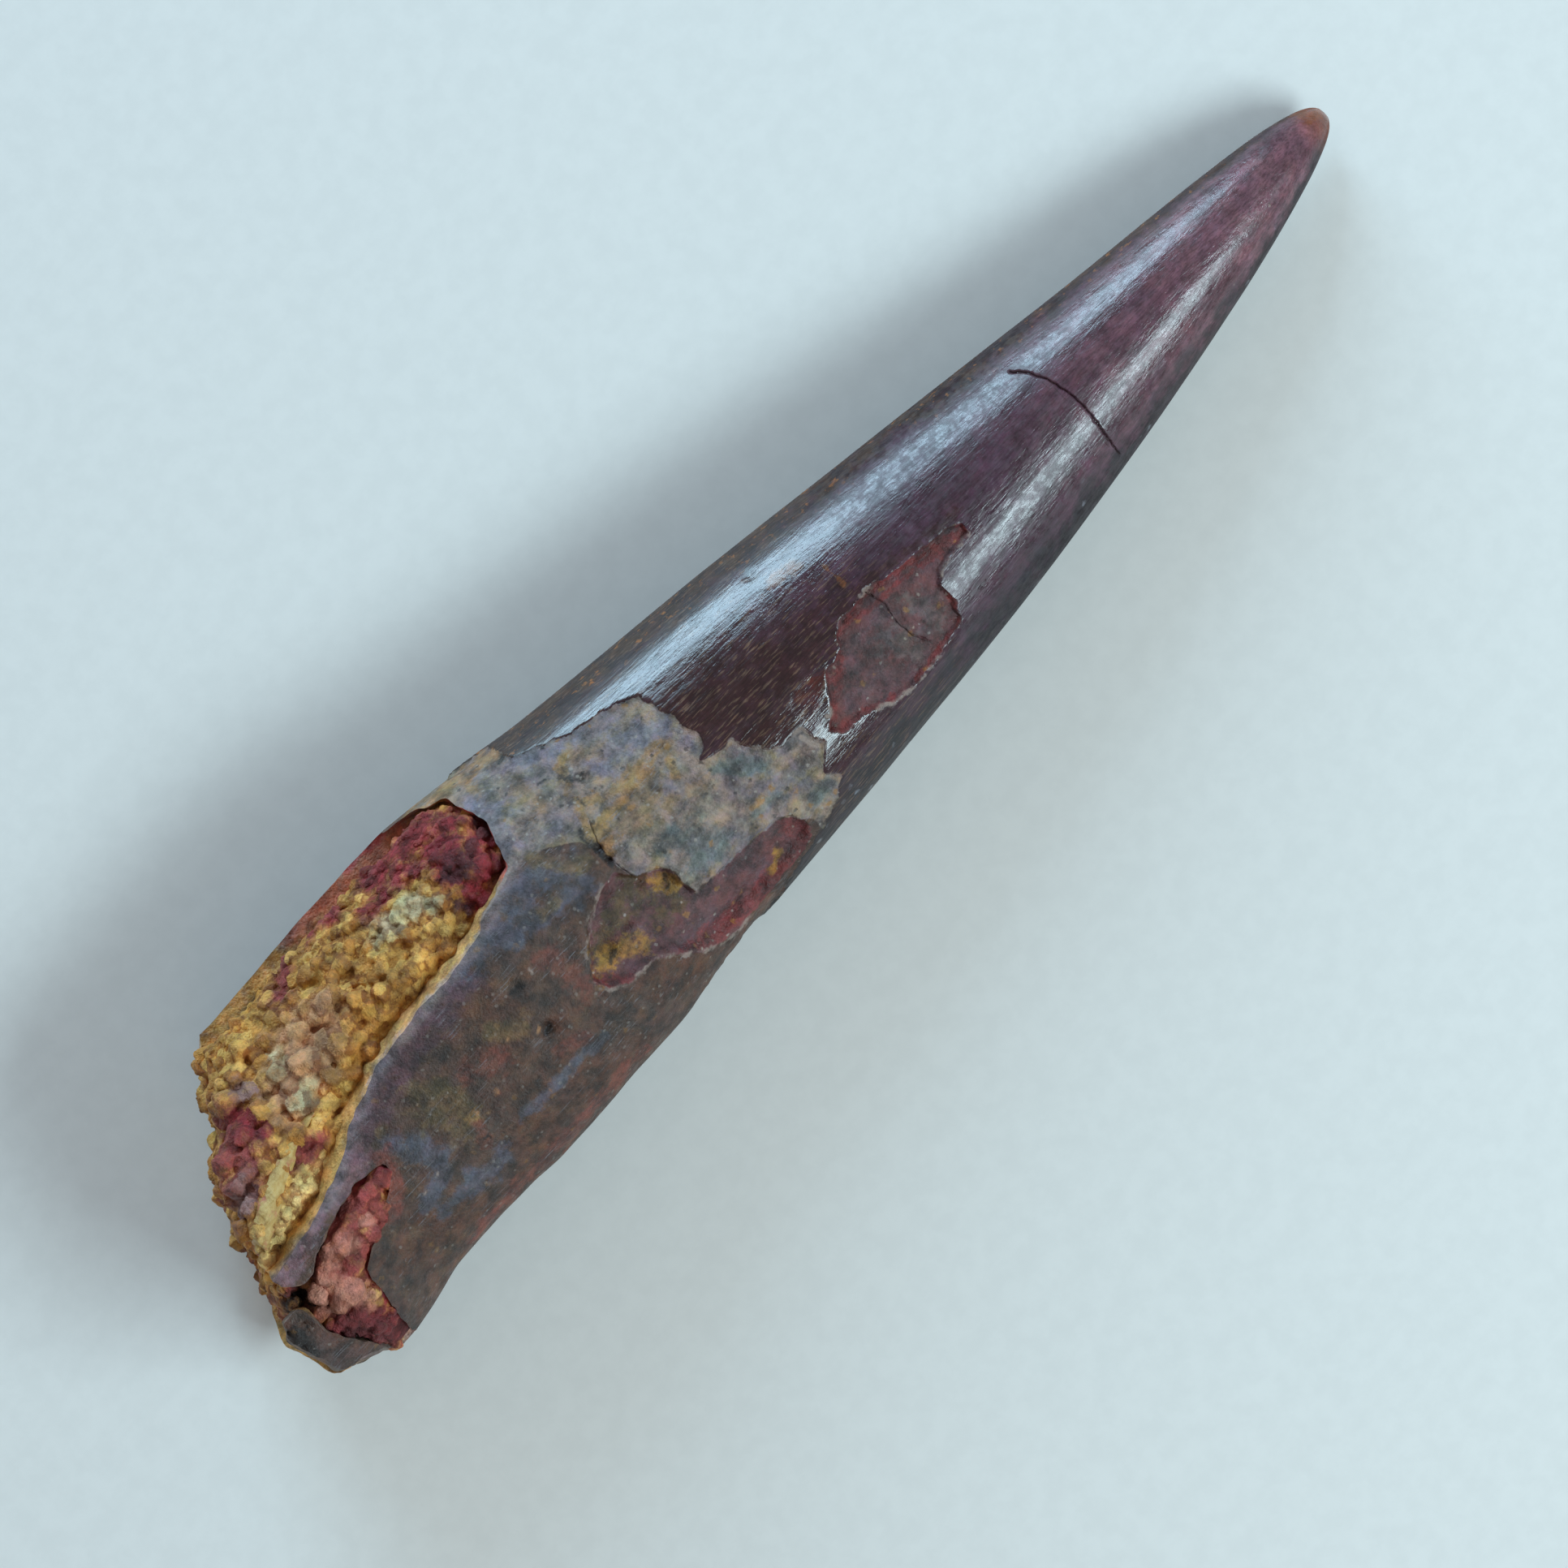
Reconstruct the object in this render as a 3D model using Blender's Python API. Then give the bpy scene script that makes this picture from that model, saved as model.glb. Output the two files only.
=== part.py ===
"""A fossil pterosaur tooth lying on its side, and the sandstone that fills its broken root.

X runs from the broken root to the tip, Y across the tooth as it lies, and Z is up. The origin is on the
ground, under the middle of the tooth. Named sizes are millimetres, and MM turns them into metres.
"""

import math

import bmesh
import bpy
import numpy as np
from mathutils import Vector, noise

MM = 0.001

# The tooth as a whole
LENGTH = 50.0
TIP_X = LENGTH / 2
REST_X = -7.0  # the lowest point of the belly, under the centre of mass
TIP_LIFT = 0.9  # the belly curves up to this height under the tip
FLAT_DEPTH = 0.1  # worn off the belly, which leaves the flat spot that the tooth rests on

# Half of the tooth's width, by distance from the tip, as if the enamel covered the root too
HALF_WIDTHS = [
    (0.0, 0.0),
    (0.3, 0.46),
    (1.5, 0.94),
    (4.0, 1.5),
    (9.0, 2.29),
    (16.5, 3.34),
    (24.0, 4.18),
    (31.0, 4.84),
    (34.5, 5.36),
    (38.5, 5.56),
    (44.0, 5.42),
    (47.0, 5.76),
    (54.0, 5.76),
]
# The section's height as a share of its width, by X: an oval root and a rounder tip
HEIGHT_SHARES = [(-29.0, 0.75), (-8.0, 0.77), (8.0, 0.84), (25.0, 0.95)]
# How far the middle of the tooth strays sideways, by X: a slight curve that ends in the tip
MIDLINE = [(-29.0, -0.4), (-13.0, 0.25), (-6.0, 0.07), (1.0, -0.16), (9.0, -0.43), (15.0, -0.49), (25.0, -0.23)]

# The enamel ends along this ragged line on the upper face, given as Y and X, and the root is bare behind it
ENAMEL_DEPTH = 0.14
ENAMEL_EDGE = [
    (-5.0, -3.6),
    (-4.0, -1.0),
    (-3.0, -0.6),
    (-2.3, -0.1),
    (-1.5, -0.9),
    (-0.7, -1.8),
    (0.1, -2.95),
    (1.5, -2.55),
    (2.7, -2.9),
    (3.3, -4.6),
    (4.1, -7.2),
    (5.2, -8.2),
]
# Where flakes have come off the upper face, as X and Y
CROWN_FLAKE_DEPTH = 0.18
CROWN_FLAKE = [
    (7.8, -0.8),
    (7.2, -0.55),
    (4.3, -0.1),
    (2.9, -0.2),
    (2.4, -0.75),
    (1.5, -1.1),
    (0.3, -2.2),
    (0.7, -2.65),
    (2.0, -2.8),
    (3.2, -3.2),
    (5.6, -2.9),
    (6.0, -1.7),
    (7.7, -1.2),
]
ROOT_FLAKE_DEPTH = 0.26
ROOT_FLAKE = [
    (-7.2, -0.45),
    (-8.9, -0.95),
    (-10.1, -2.2),
    (-9.3, -3.1),
    (-8.2, -3.15),
    (-7.0, -4.15),
    (-5.0, -4.4),
    (-2.4, -4.1),
    (-2.1, -3.6),
    (-2.7, -2.95),
    (-6.0, -2.7),
    (-6.0, -1.5),
    (-6.8, -1.0),
]
FLAKE_EDGE = 0.35  # width of the slope from the surface to a flake's floor
WAVE = 0.08  # the bare root is uneven by this much, and the enamel hardly at all
WAVE_LENGTH = 3.2
SEED = Vector((11.0, 5.0, 3.0))

# The hollow of the root, which narrows to a point inside the crown
WALL = 0.85
HOLLOW_FULL_X = -12.0
HOLLOW_END_X = 1.0

# The broken end seen from above, from its upper left corner to its right side: of the wall, then of the
# sandstone, which stands out of the hollow between its two corners
WALL_END = [
    (-18.8, 6.6),
    (-19.9, 5.3),
    (-20.5, 4.7),
    (-20.7, 4.0),
    (-21.2, 3.1),
    (-22.0, 2.0),
    (-22.6, 0.9),
    (-23.2, 0.0),
    (-23.8, -0.8),
    (-24.6, -2.1),
    (-25.0, -3.0),
    (-24.5, -4.75),
    (-23.0, -5.3),
    (-22.1, -5.75),
    (-21.6, -6.8),
]
FILL_END = [
    (-20.1, 6.0),
    (-20.4, 4.2),
    (-21.1, 3.8),
    (-21.5, 2.6),
    (-22.4, 2.2),
    (-22.75, 1.6),
    (-22.8, 0.95),
    (-23.4, 0.3),
    (-23.5, -0.5),
    (-23.9, -1.3),
    (-24.2, -2.4),
    (-24.3, -3.4),
    (-23.7, -4.3),
    (-23.2, -6.0),
]
BEYOND = -30.0  # cutters for the end reach back to here
ABOVE = 10.5  # and up to here
# The broken end falls back from its furthest reach by this much at each height
END_LEAN = [(-1.0, 0.9), (0.9, 0.0), (2.6, 0.0), (4.6, 0.12), (6.4, 0.35), (ABOVE, 1.1)]
END_JITTER = 0.3

# The opening broken through the upper left of the wall: its near rim, from the crown to the end
UPPER_RIM = [
    (-8.8, 3.1),
    (-9.3, 2.3),
    (-9.8, 1.85),
    (-11.0, 1.5),
    (-12.5, 1.15),
    (-14.5, 1.05),
    (-16.5, 0.75),
    (-18.2, 0.2),
    (-19.4, -0.45),
    (-20.4, -0.78),
    (-22.0, -0.9),
    (-23.4, -1.2),
]
FAR_RIM = [(-12.8, 7.5), (-11.4, 5.7), (-10.2, 5.0), (-9.1, 4.6), (-8.75, 3.9)]
RIM_Z = 8.1
RIM_SLOPE = (-0.25, 0.45)  # the break slopes by this much, seen from above, in the depth of the wall
FAR_RIM_Z = 4.3  # the far side of the wall is broken off at this height
FAR_RIM_SLOPE = (-1.0, -0.5)  # where the far rim meets that height, it has come this much further

# The second opening, between a tongue of wall and a stump of wall at the end
TONGUE_SIDE = [
    (-18.3, -1.35),
    (-19.5, -1.2),
    (-20.6, -1.4),
    (-21.8, -1.85),
    (-22.5, -2.15),
    (-23.0, -2.15),
    (-23.45, -1.85),
    (-23.6, -1.0),
]
STUMP_SIDE = [(-27.0, -1.0), (-25.5, -2.5), (-23.2, -2.5), (-23.3, -3.7), (-22.5, -5.2), (-22.4, -7.5)]
LOWER_RIM = [(-21.8, -7.5), (-21.6, -5.2), (-21.3, -4.2), (-21.1, -3.2), (-19.6, -2.55), (-18.6, -1.9)]
LOWER_CUT_Z = 4.1

# The sandstone stays this clear of the wall, and this far under the lost wall's surface in the openings
GAP = 0.3
FILL_SHORT = 0.3
FILL_START_X = 0.0
LUMP = 0.4
LUMP_SIZE = 1.6

TOOTH_RINGS = 86
TOOTH_SIDES = 44
RING_POWER = 1.3  # above 1, the rings are closer towards the tip
HOLLOW_RINGS = 18
HOLLOW_SIDES = 28
FILL_RINGS = 28
FILL_SIDES = 32


def smooth_curve(stations):
    """A function that runs smoothly through (position, value) stations and never overshoots them."""
    at, value = (np.array(column, float) for column in zip(*stations))
    secant = np.diff(value) / np.diff(at)
    before, after = secant[:-1], secant[1:]
    inner = np.where(before * after > 0, 2 * before * after / (before + after + 1e-12), 0.0)
    slope = np.concatenate([secant[:1], inner, secant[-1:]])

    def curve(x):
        i = int(np.clip(np.searchsorted(at, x) - 1, 0, len(at) - 2))
        step = at[i + 1] - at[i]
        t = min(max((x - at[i]) / step, 0.0), 1.0)
        ends = value[i] * (1 + 2 * t) * (1 - t) ** 2 + value[i + 1] * t * t * (3 - 2 * t)
        return float(ends + step * t * (1 - t) * (slope[i] * (1 - t) - slope[i + 1] * t))

    return curve


def smoothstep(low, high, x):
    t = min(max((x - low) / (high - low), 0.0), 1.0)
    return t * t * (3 - 2 * t)


# The root of the distance makes the tip round, because a round end's width grows with that root
half_width_by_root = smooth_curve([(math.sqrt(distance), half) for distance, half in HALF_WIDTHS])
height_share = smooth_curve(HEIGHT_SHARES)
midline = smooth_curve(MIDLINE)
enamel_edge = smooth_curve(ENAMEL_EDGE)


def half_width(x):
    return half_width_by_root(math.sqrt(max(TIP_X - x, 0.0)))


def belly(x):
    """Height of the underside before the flat spot is cut."""
    return TIP_LIFT * ((x - REST_X) / (TIP_X - REST_X)) ** 2 - FLAT_DEPTH


def section_point(x, angle, inset):
    """The point of the section at x in the direction of angle, moved in by inset; angle 0 is +Y."""
    half = half_width(x)
    tall = height_share(x) * half
    across = max(half - inset, 0.0) * math.cos(angle)
    up = max(tall - inset, 0.0) * math.sin(angle)
    return Vector((x, midline(x) + across, belly(x) + tall + up))


def inside_by(outline, x, y):
    """How far (x, y) lies inside a closed outline; negative outside it."""
    near, inside = math.inf, False
    for (x0, y0), (x1, y1) in zip(outline, outline[1:] + outline[:1]):
        along = ((x - x0) * (x1 - x0) + (y - y0) * (y1 - y0)) / ((x1 - x0) ** 2 + (y1 - y0) ** 2)
        along = min(max(along, 0.0), 1.0)
        near = min(near, math.hypot(x - x0 - along * (x1 - x0), y - y0 - along * (y1 - y0)))
        if (y0 > y) != (y1 > y) and x < x0 + (y - y0) * (x1 - x0) / (y1 - y0):
            inside = not inside
    return near if inside else -near


def worn_away(x, y, angle):
    """Depth lost from the surface: the missing enamel of the root, and the flakes of the upper face."""
    upper = math.sin(angle) > 0
    edge = enamel_edge(y if upper else math.copysign(4.2, y))
    bare = smoothstep(-FLAKE_EDGE / 2, FLAKE_EDGE / 2, edge - x)
    lost = ENAMEL_DEPTH * bare
    if upper:
        for outline, depth in ((CROWN_FLAKE, CROWN_FLAKE_DEPTH), (ROOT_FLAKE, ROOT_FLAKE_DEPTH)):
            lost += depth * smoothstep(0.0, FLAKE_EDGE, inside_by(outline, x, y))
    wave = noise.noise(Vector((x, y, 2 * math.sin(angle))) / WAVE_LENGTH + SEED)
    off_the_ground = smoothstep(-0.95, -0.6, math.sin(angle))
    return (lost + WAVE * wave * (0.15 + 0.85 * bare)) * off_the_ground


def tooth_surface(share, angle):
    """The tooth's skin: share 0 is the tip, and share 1 lies behind the broken end."""
    x = TIP_X + (BEYOND - TIP_X) * share**RING_POWER
    y = section_point(x, angle, 0.0).y
    return section_point(x, angle, worn_away(x, y, angle))


def hollow_radius_share(x):
    """The hollow's size as a share of the room inside the wall."""
    return math.sqrt(1 - smoothstep(HOLLOW_FULL_X, HOLLOW_END_X, x))


def hollow_surface(share, angle):
    """The wall of the hollow: full behind HOLLOW_FULL_X, and closing to a point ahead of it."""
    x = HOLLOW_END_X + (BEYOND - 1.0 - HOLLOW_END_X) * share
    centre = section_point(x, angle, math.inf)
    return centre.lerp(section_point(x, angle, WALL), hollow_radius_share(x))


def opened_by(x, y, z):
    """From 0 where the wall covers the sandstone to 1 well inside an opening."""
    behind = BEYOND - 3
    upper = UPPER_RIM + [(behind, UPPER_RIM[-1][1]), (behind, FAR_RIM[0][1])] + FAR_RIM
    lower = TONGUE_SIDE + STUMP_SIDE + LOWER_RIM
    in_upper = smoothstep(0.35, 1.2, inside_by(upper, x, y)) * smoothstep(GAP, 2 * GAP, z - FAR_RIM_Z)
    in_lower = smoothstep(0.3, 0.8, inside_by(lower, x, y)) * smoothstep(GAP, 3 * GAP, z - LOWER_CUT_Z)
    return max(in_upper, in_lower)


def fill_surface(share, angle):
    """The sandstone: it fills the hollow and swells into the openings, lumpy wherever it shows."""
    x = FILL_START_X + (BEYOND + 2.0 - FILL_START_X) * share
    buried = section_point(x, angle, WALL + GAP)
    bulge = opened_by(buried.x, buried.y, buried.z)
    lump = LUMP * (0.5 + 0.5 * noise.noise(buried / LUMP_SIZE + SEED))
    inset = WALL + GAP + (FILL_SHORT - WALL - GAP) * bulge + lump * (0.3 + 0.7 * bulge)
    # Ahead of HOLLOW_FULL_X the gap is kept by starting the taper a little earlier
    narrowing = hollow_radius_share(x - FILL_START_X + HOLLOW_END_X)
    centre = section_point(x, angle, math.inf)
    return centre.lerp(section_point(x, angle, inset), narrowing)


def wrap(name, sides, rings, surface):
    """A ball whose points are moved onto surface(share, angle), its poles at share 0 and 1."""
    made = bmesh.new()
    bmesh.ops.create_uvsphere(made, u_segments=sides, v_segments=rings, radius=1.0)
    for point in made.verts:
        share = math.acos(min(max(point.co.z, -1.0), 1.0)) / math.pi
        angle = math.atan2(point.co.y, point.co.x)
        if math.hypot(point.co.x, point.co.y) > 1e-4:
            point.co = surface(share, angle) * MM
        else:
            point.co = (surface(share, 0.0) + surface(share, math.pi)) / 2 * MM
    return finished(name, made)


def finished(name, made):
    """An object of the mesh, with its faces turned outwards."""
    bmesh.ops.recalc_face_normals(made, faces=made.faces)
    if made.calc_volume(signed=True) < 0:
        bmesh.ops.reverse_faces(made, faces=made.faces)
    mesh = bpy.data.meshes.new(name)
    made.to_mesh(mesh)
    made.free()
    shape = bpy.data.objects.new(name, mesh)
    bpy.context.scene.collection.objects.link(shape)
    return shape


def block(name, levels):
    """A closed block through outlines of equally many points, given as (z, outline) from the bottom up."""
    made = bmesh.new()
    rings = [[made.verts.new((x * MM, y * MM, z * MM)) for x, y in outline] for z, outline in levels]
    made.faces.new(rings[0])
    made.faces.new(rings[-1])
    for low, high in zip(rings, rings[1:]):
        for i in range(len(low)):
            made.faces.new((low[i - 1], low[i], high[i], high[i - 1]))
    return finished(name, made)


def shifted(outline, dx, dy):
    return [(x + dx, y + dy) for x, y in outline]


def end_cutter(name, end, seed):
    """Everything behind a broken end, which is rough and leans back above and below its furthest reach."""
    levels = []
    for z, lean in END_LEAN:
        edge = []
        for x, y in end:
            rough = 0.5 + 0.5 * noise.noise(Vector((1.3 * y, 0.9 * z, seed)))
            edge.append((x + lean + END_JITTER * rough * min(lean / 0.3, 1.0), y))
        levels.append((z, edge + [(BEYOND - 3, end[-1][1]), (BEYOND - 3, end[0][1])]))
    return block(name, levels)


def upper_cutter():
    """The opening in the upper left of the wall, with the slope of its near rim."""
    behind = [(BEYOND - 3, UPPER_RIM[-1][1]), (BEYOND - 3, FAR_RIM[0][1])]
    slope_x, slope_y = RIM_SLOPE
    rise = (ABOVE - RIM_Z) / WALL
    deep_rim = shifted(UPPER_RIM, slope_x, slope_y) + behind
    high_rim = shifted(UPPER_RIM, -rise * slope_x, -rise * slope_y) + behind
    low = deep_rim + shifted(FAR_RIM, *FAR_RIM_SLOPE)
    return block("upper_cutter", [(FAR_RIM_Z, low), (RIM_Z - WALL, deep_rim + FAR_RIM), (ABOVE, high_rim + FAR_RIM)])


def lower_cutter():
    """The opening between the tongue and the stump of the wall."""
    outline = TONGUE_SIDE + STUMP_SIDE + LOWER_RIM
    return block("lower_cutter", [(LOWER_CUT_Z, outline), (ABOVE, outline)])


def cut(shape, cutter):
    """Takes the cutter away from the shape, and hides the cutter."""
    knife = shape.modifiers.new(f"cut by {cutter.name}", "BOOLEAN")
    knife.operation = "DIFFERENCE"
    knife.solver = "EXACT"
    knife.object = cutter
    cutter.hide_render = True
    cutter.display_type = "WIRE"


def surface_finish(name, colour, roughness):
    """A plain dielectric surface."""
    material = bpy.data.materials.new(name)
    material.use_nodes = True
    shader = material.node_tree.nodes["Principled BSDF"]
    shader.inputs["Base Color"].default_value = (*colour, 1.0)
    shader.inputs["Roughness"].default_value = roughness
    shader.inputs["Metallic"].default_value = 0.0
    return material


def flatten_belly(shape):
    """Cuts the underside at the ground, which leaves the flat spot that the tooth rests on."""
    made = bmesh.new()
    made.from_mesh(shape.data)
    everything = made.verts[:] + made.edges[:] + made.faces[:]
    found = bmesh.ops.bisect_plane(
        made, geom=everything, plane_co=(0, 0, 0), plane_no=(0, 0, 1), dist=1e-7, clear_inner=True
    )
    bmesh.ops.contextual_create(made, geom=[g for g in found["geom_cut"] if isinstance(g, bmesh.types.BMEdge)])
    bmesh.ops.recalc_face_normals(made, faces=made.faces)
    made.to_mesh(shape.data)
    made.free()


def build_tooth():
    tooth = wrap("tooth", TOOTH_SIDES, TOOTH_RINGS, tooth_surface)
    flatten_belly(tooth)
    tooth.data.shade_smooth()
    tooth.data.materials.append(surface_finish("enamel and dentine", (0.13, 0.045, 0.04), 0.3))
    cut(tooth, wrap("hollow_cutter", HOLLOW_SIDES, HOLLOW_RINGS, hollow_surface))
    cut(tooth, end_cutter("wall_end_cutter", WALL_END, 2.0))
    cut(tooth, upper_cutter())
    cut(tooth, lower_cutter())


def build_fill():
    fill = wrap("sandstone_fill", FILL_SIDES, FILL_RINGS, fill_surface)
    fill.data.materials.append(surface_finish("cemented sand", (0.5, 0.3, 0.1), 0.9))
    cut(fill, end_cutter("fill_end_cutter", FILL_END, 7.0))


def main():
    for old in list(bpy.data.objects):
        bpy.data.objects.remove(old)
    build_tooth()
    build_fill()


main()
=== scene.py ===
"""The fossil tooth as it looks: worn enamel, bare root, broken wall, and the sand that fills it.

X runs from the broken root to the tip, Y across the tooth as it lies, and Z is up. Everything is built in
millimetres, and placed() turns a finished mesh into metres.
"""

import itertools
import math
import random

import bmesh
import bpy
import numpy as np
from mathutils import Matrix, Vector, noise
from mathutils.bvhtree import BVHTree
from mathutils.kdtree import KDTree


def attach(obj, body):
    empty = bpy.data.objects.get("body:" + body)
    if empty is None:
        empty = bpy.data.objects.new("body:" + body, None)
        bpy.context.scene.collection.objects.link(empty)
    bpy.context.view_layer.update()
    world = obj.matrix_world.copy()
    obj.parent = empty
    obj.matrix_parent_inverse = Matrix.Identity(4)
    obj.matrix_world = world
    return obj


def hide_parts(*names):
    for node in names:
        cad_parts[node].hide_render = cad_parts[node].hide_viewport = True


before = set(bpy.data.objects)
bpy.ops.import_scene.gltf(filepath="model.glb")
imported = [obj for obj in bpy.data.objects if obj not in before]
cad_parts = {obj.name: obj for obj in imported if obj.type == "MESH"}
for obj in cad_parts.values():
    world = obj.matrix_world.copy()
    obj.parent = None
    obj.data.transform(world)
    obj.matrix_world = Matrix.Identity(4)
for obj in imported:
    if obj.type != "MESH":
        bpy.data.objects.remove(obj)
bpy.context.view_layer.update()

MM = 0.001

# The tooth's form, as in its solid
TIP_X = 25.0
REST_X = -7.0
TIP_LIFT = 0.9
FLAT_DEPTH = 0.1
HALF_WIDTHS = [
    (0.0, 0.0), (0.3, 0.46), (1.5, 0.94), (4.0, 1.5), (9.0, 2.29), (16.5, 3.34), (24.0, 4.18), (31.0, 4.84),
    (34.5, 5.36), (38.5, 5.56), (44.0, 5.42), (47.0, 5.76), (54.0, 5.76),
]
HEIGHT_SHARES = [(-29.0, 0.75), (-8.0, 0.77), (8.0, 0.84), (25.0, 0.95)]
MIDLINE = [
    (-29.0, -0.4), (-13.0, 0.25), (-6.0, 0.07), (1.0, -0.16), (9.0, -0.43), (15.0, -0.49), (25.0, -0.23),
]
WALL = 0.85
HOLLOW_FULL_X = -12.0
HOLLOW_END_X = 1.0
WAVE = 0.08
WAVE_LENGTH = 3.2
SEED = Vector((11.0, 5.0, 3.0))

# The bare root on the upper face, seen from above, and on the underside by the slope of its edge
ENAMEL_DEPTH = 0.14
BARE_ROOT = [
    (-40.0, 12.0), (-7.0, 12.0), (-7.2, 5.1), (-6.9, 4.3), (-6.3, 4.0), (-5.6, 3.75), (-5.2, 3.4),
    (-3.9, 3.2), (-2.85, 2.7), (-2.6, 1.5), (-2.4, 0.6), (-3.0, -0.05), (-2.3, -0.3), (-1.85, -0.35),
    (-1.3, -1.3), (-0.9, -1.55), (-0.2, -1.6), (0.0, -2.3), (-0.6, -3.0), (-0.35, -3.4), (-0.9, -3.9),
    (-4.0, -4.5), (-5.0, -12.0), (-40.0, -12.0),
]
WEATHERED = [
    (-12.0, 8.0), (-8.5, 3.0), (-9.3, 1.9), (-8.1, 1.55), (-7.2, 1.0), (-6.9, 0.0), (-6.9, -1.1),
    (-6.0, -1.6), (-6.0, -2.7), (-2.4, -3.0), (-2.0, -3.9), (-1.5, -5.0), (3.0, -5.0), (3.0, 8.0),
]
UNDER_EDGE_X = -6.6
UNDER_EDGE_SLOPE = -0.36

# Flakes off the upper face
CROWN_FLAKE = [
    (7.8, -0.8), (7.2, -0.55), (5.0, -0.25), (4.3, -0.05), (2.9, -0.2), (2.4, -0.75), (1.6, -0.95),
    (1.3, -1.3), (0.9, -1.85), (0.3, -2.25), (0.7, -2.65), (1.5, -2.7), (2.0, -2.85), (2.4, -3.1),
    (3.3, -3.2), (4.6, -3.05), (5.6, -2.9), (5.9, -2.4), (6.0, -1.7), (6.3, -1.35), (7.7, -1.2),
]
ROOT_FLAKE = [
    (-7.2, -0.45), (-7.9, -0.5), (-8.9, -0.95), (-9.5, -1.5), (-10.1, -2.25), (-9.9, -2.8), (-9.3, -3.1),
    (-8.2, -3.15), (-7.7, -3.6), (-7.0, -4.15), (-6.1, -4.4), (-4.0, -4.3), (-2.4, -4.1), (-2.1, -3.8),
    (-2.2, -3.3), (-2.7, -2.95), (-4.0, -2.8), (-6.0, -2.7), (-6.0, -1.5), (-6.8, -1.0),
]
THIN_FLAKE = [
    (0.0, -1.0), (0.35, -0.62), (1.6, -0.62), (2.6, -0.75), (1.6, -1.0), (1.0, -1.9), (0.4, -2.2),
    (0.0, -1.6),
]
# Each flake's outline, depth, width of the slope at its edge, and seed of its ragged edge
FLAKES = [(CROWN_FLAKE, 0.18, 0.1, 2.0), (ROOT_FLAKE, 0.26, 0.16, 2.5), (THIN_FLAKE, 0.015, 0.08, 2.7)]

# Cracks in the upper face, as lines seen from above, with a width and a depth
CRACKS = [
    (0.02, 0.08, [
        (12.2, 1.3), (12.5, 0.95), (12.8, 0.3), (12.95, -0.4), (12.97, -1.0), (12.87, -1.8), (12.7, -2.9),
    ]),
    (0.014, 0.05, [(4.2, -0.1), (4.35, -0.8), (4.2, -1.5), (4.25, -2.1), (4.5, -2.7)]),
    (0.013, 0.05, [(-6.6, 1.2), (-6.9, 0.6), (-7.05, 0.0), (-6.9, -0.9)]),
]
# Pits in the upper face: X, Y, radius and depth
PITS = [
    (-9.05, -2.15, 0.26, 0.3), (-8.2, -2.05, 0.16, 0.18), (-6.4, -1.75, 0.32, 0.2),
    (-12.0, -2.3, 0.22, 0.3), (-11.8, -0.7, 0.2, 0.12), (-24.15, -2.95, 0.17, 0.35),
    (-24.25, -3.2, 0.12, 0.2), (-24.15, -3.6, 0.13, 0.28), (-23.6, -3.15, 0.11, 0.22),
    (-7.05, 0.45, 0.17, 0.24), (-7.0, -0.05, 0.15, 0.22), (-5.85, 2.3, 0.14, 0.12),
    (-6.9, -1.35, 0.12, 0.12), (-5.2, 0.9, 0.1, 0.1), (2.15, 2.8, 0.14, 0.04), (-17.6, -0.7, 0.1, 0.08),
    (4.4, -2.5, 0.08, 0.1),
]

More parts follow.
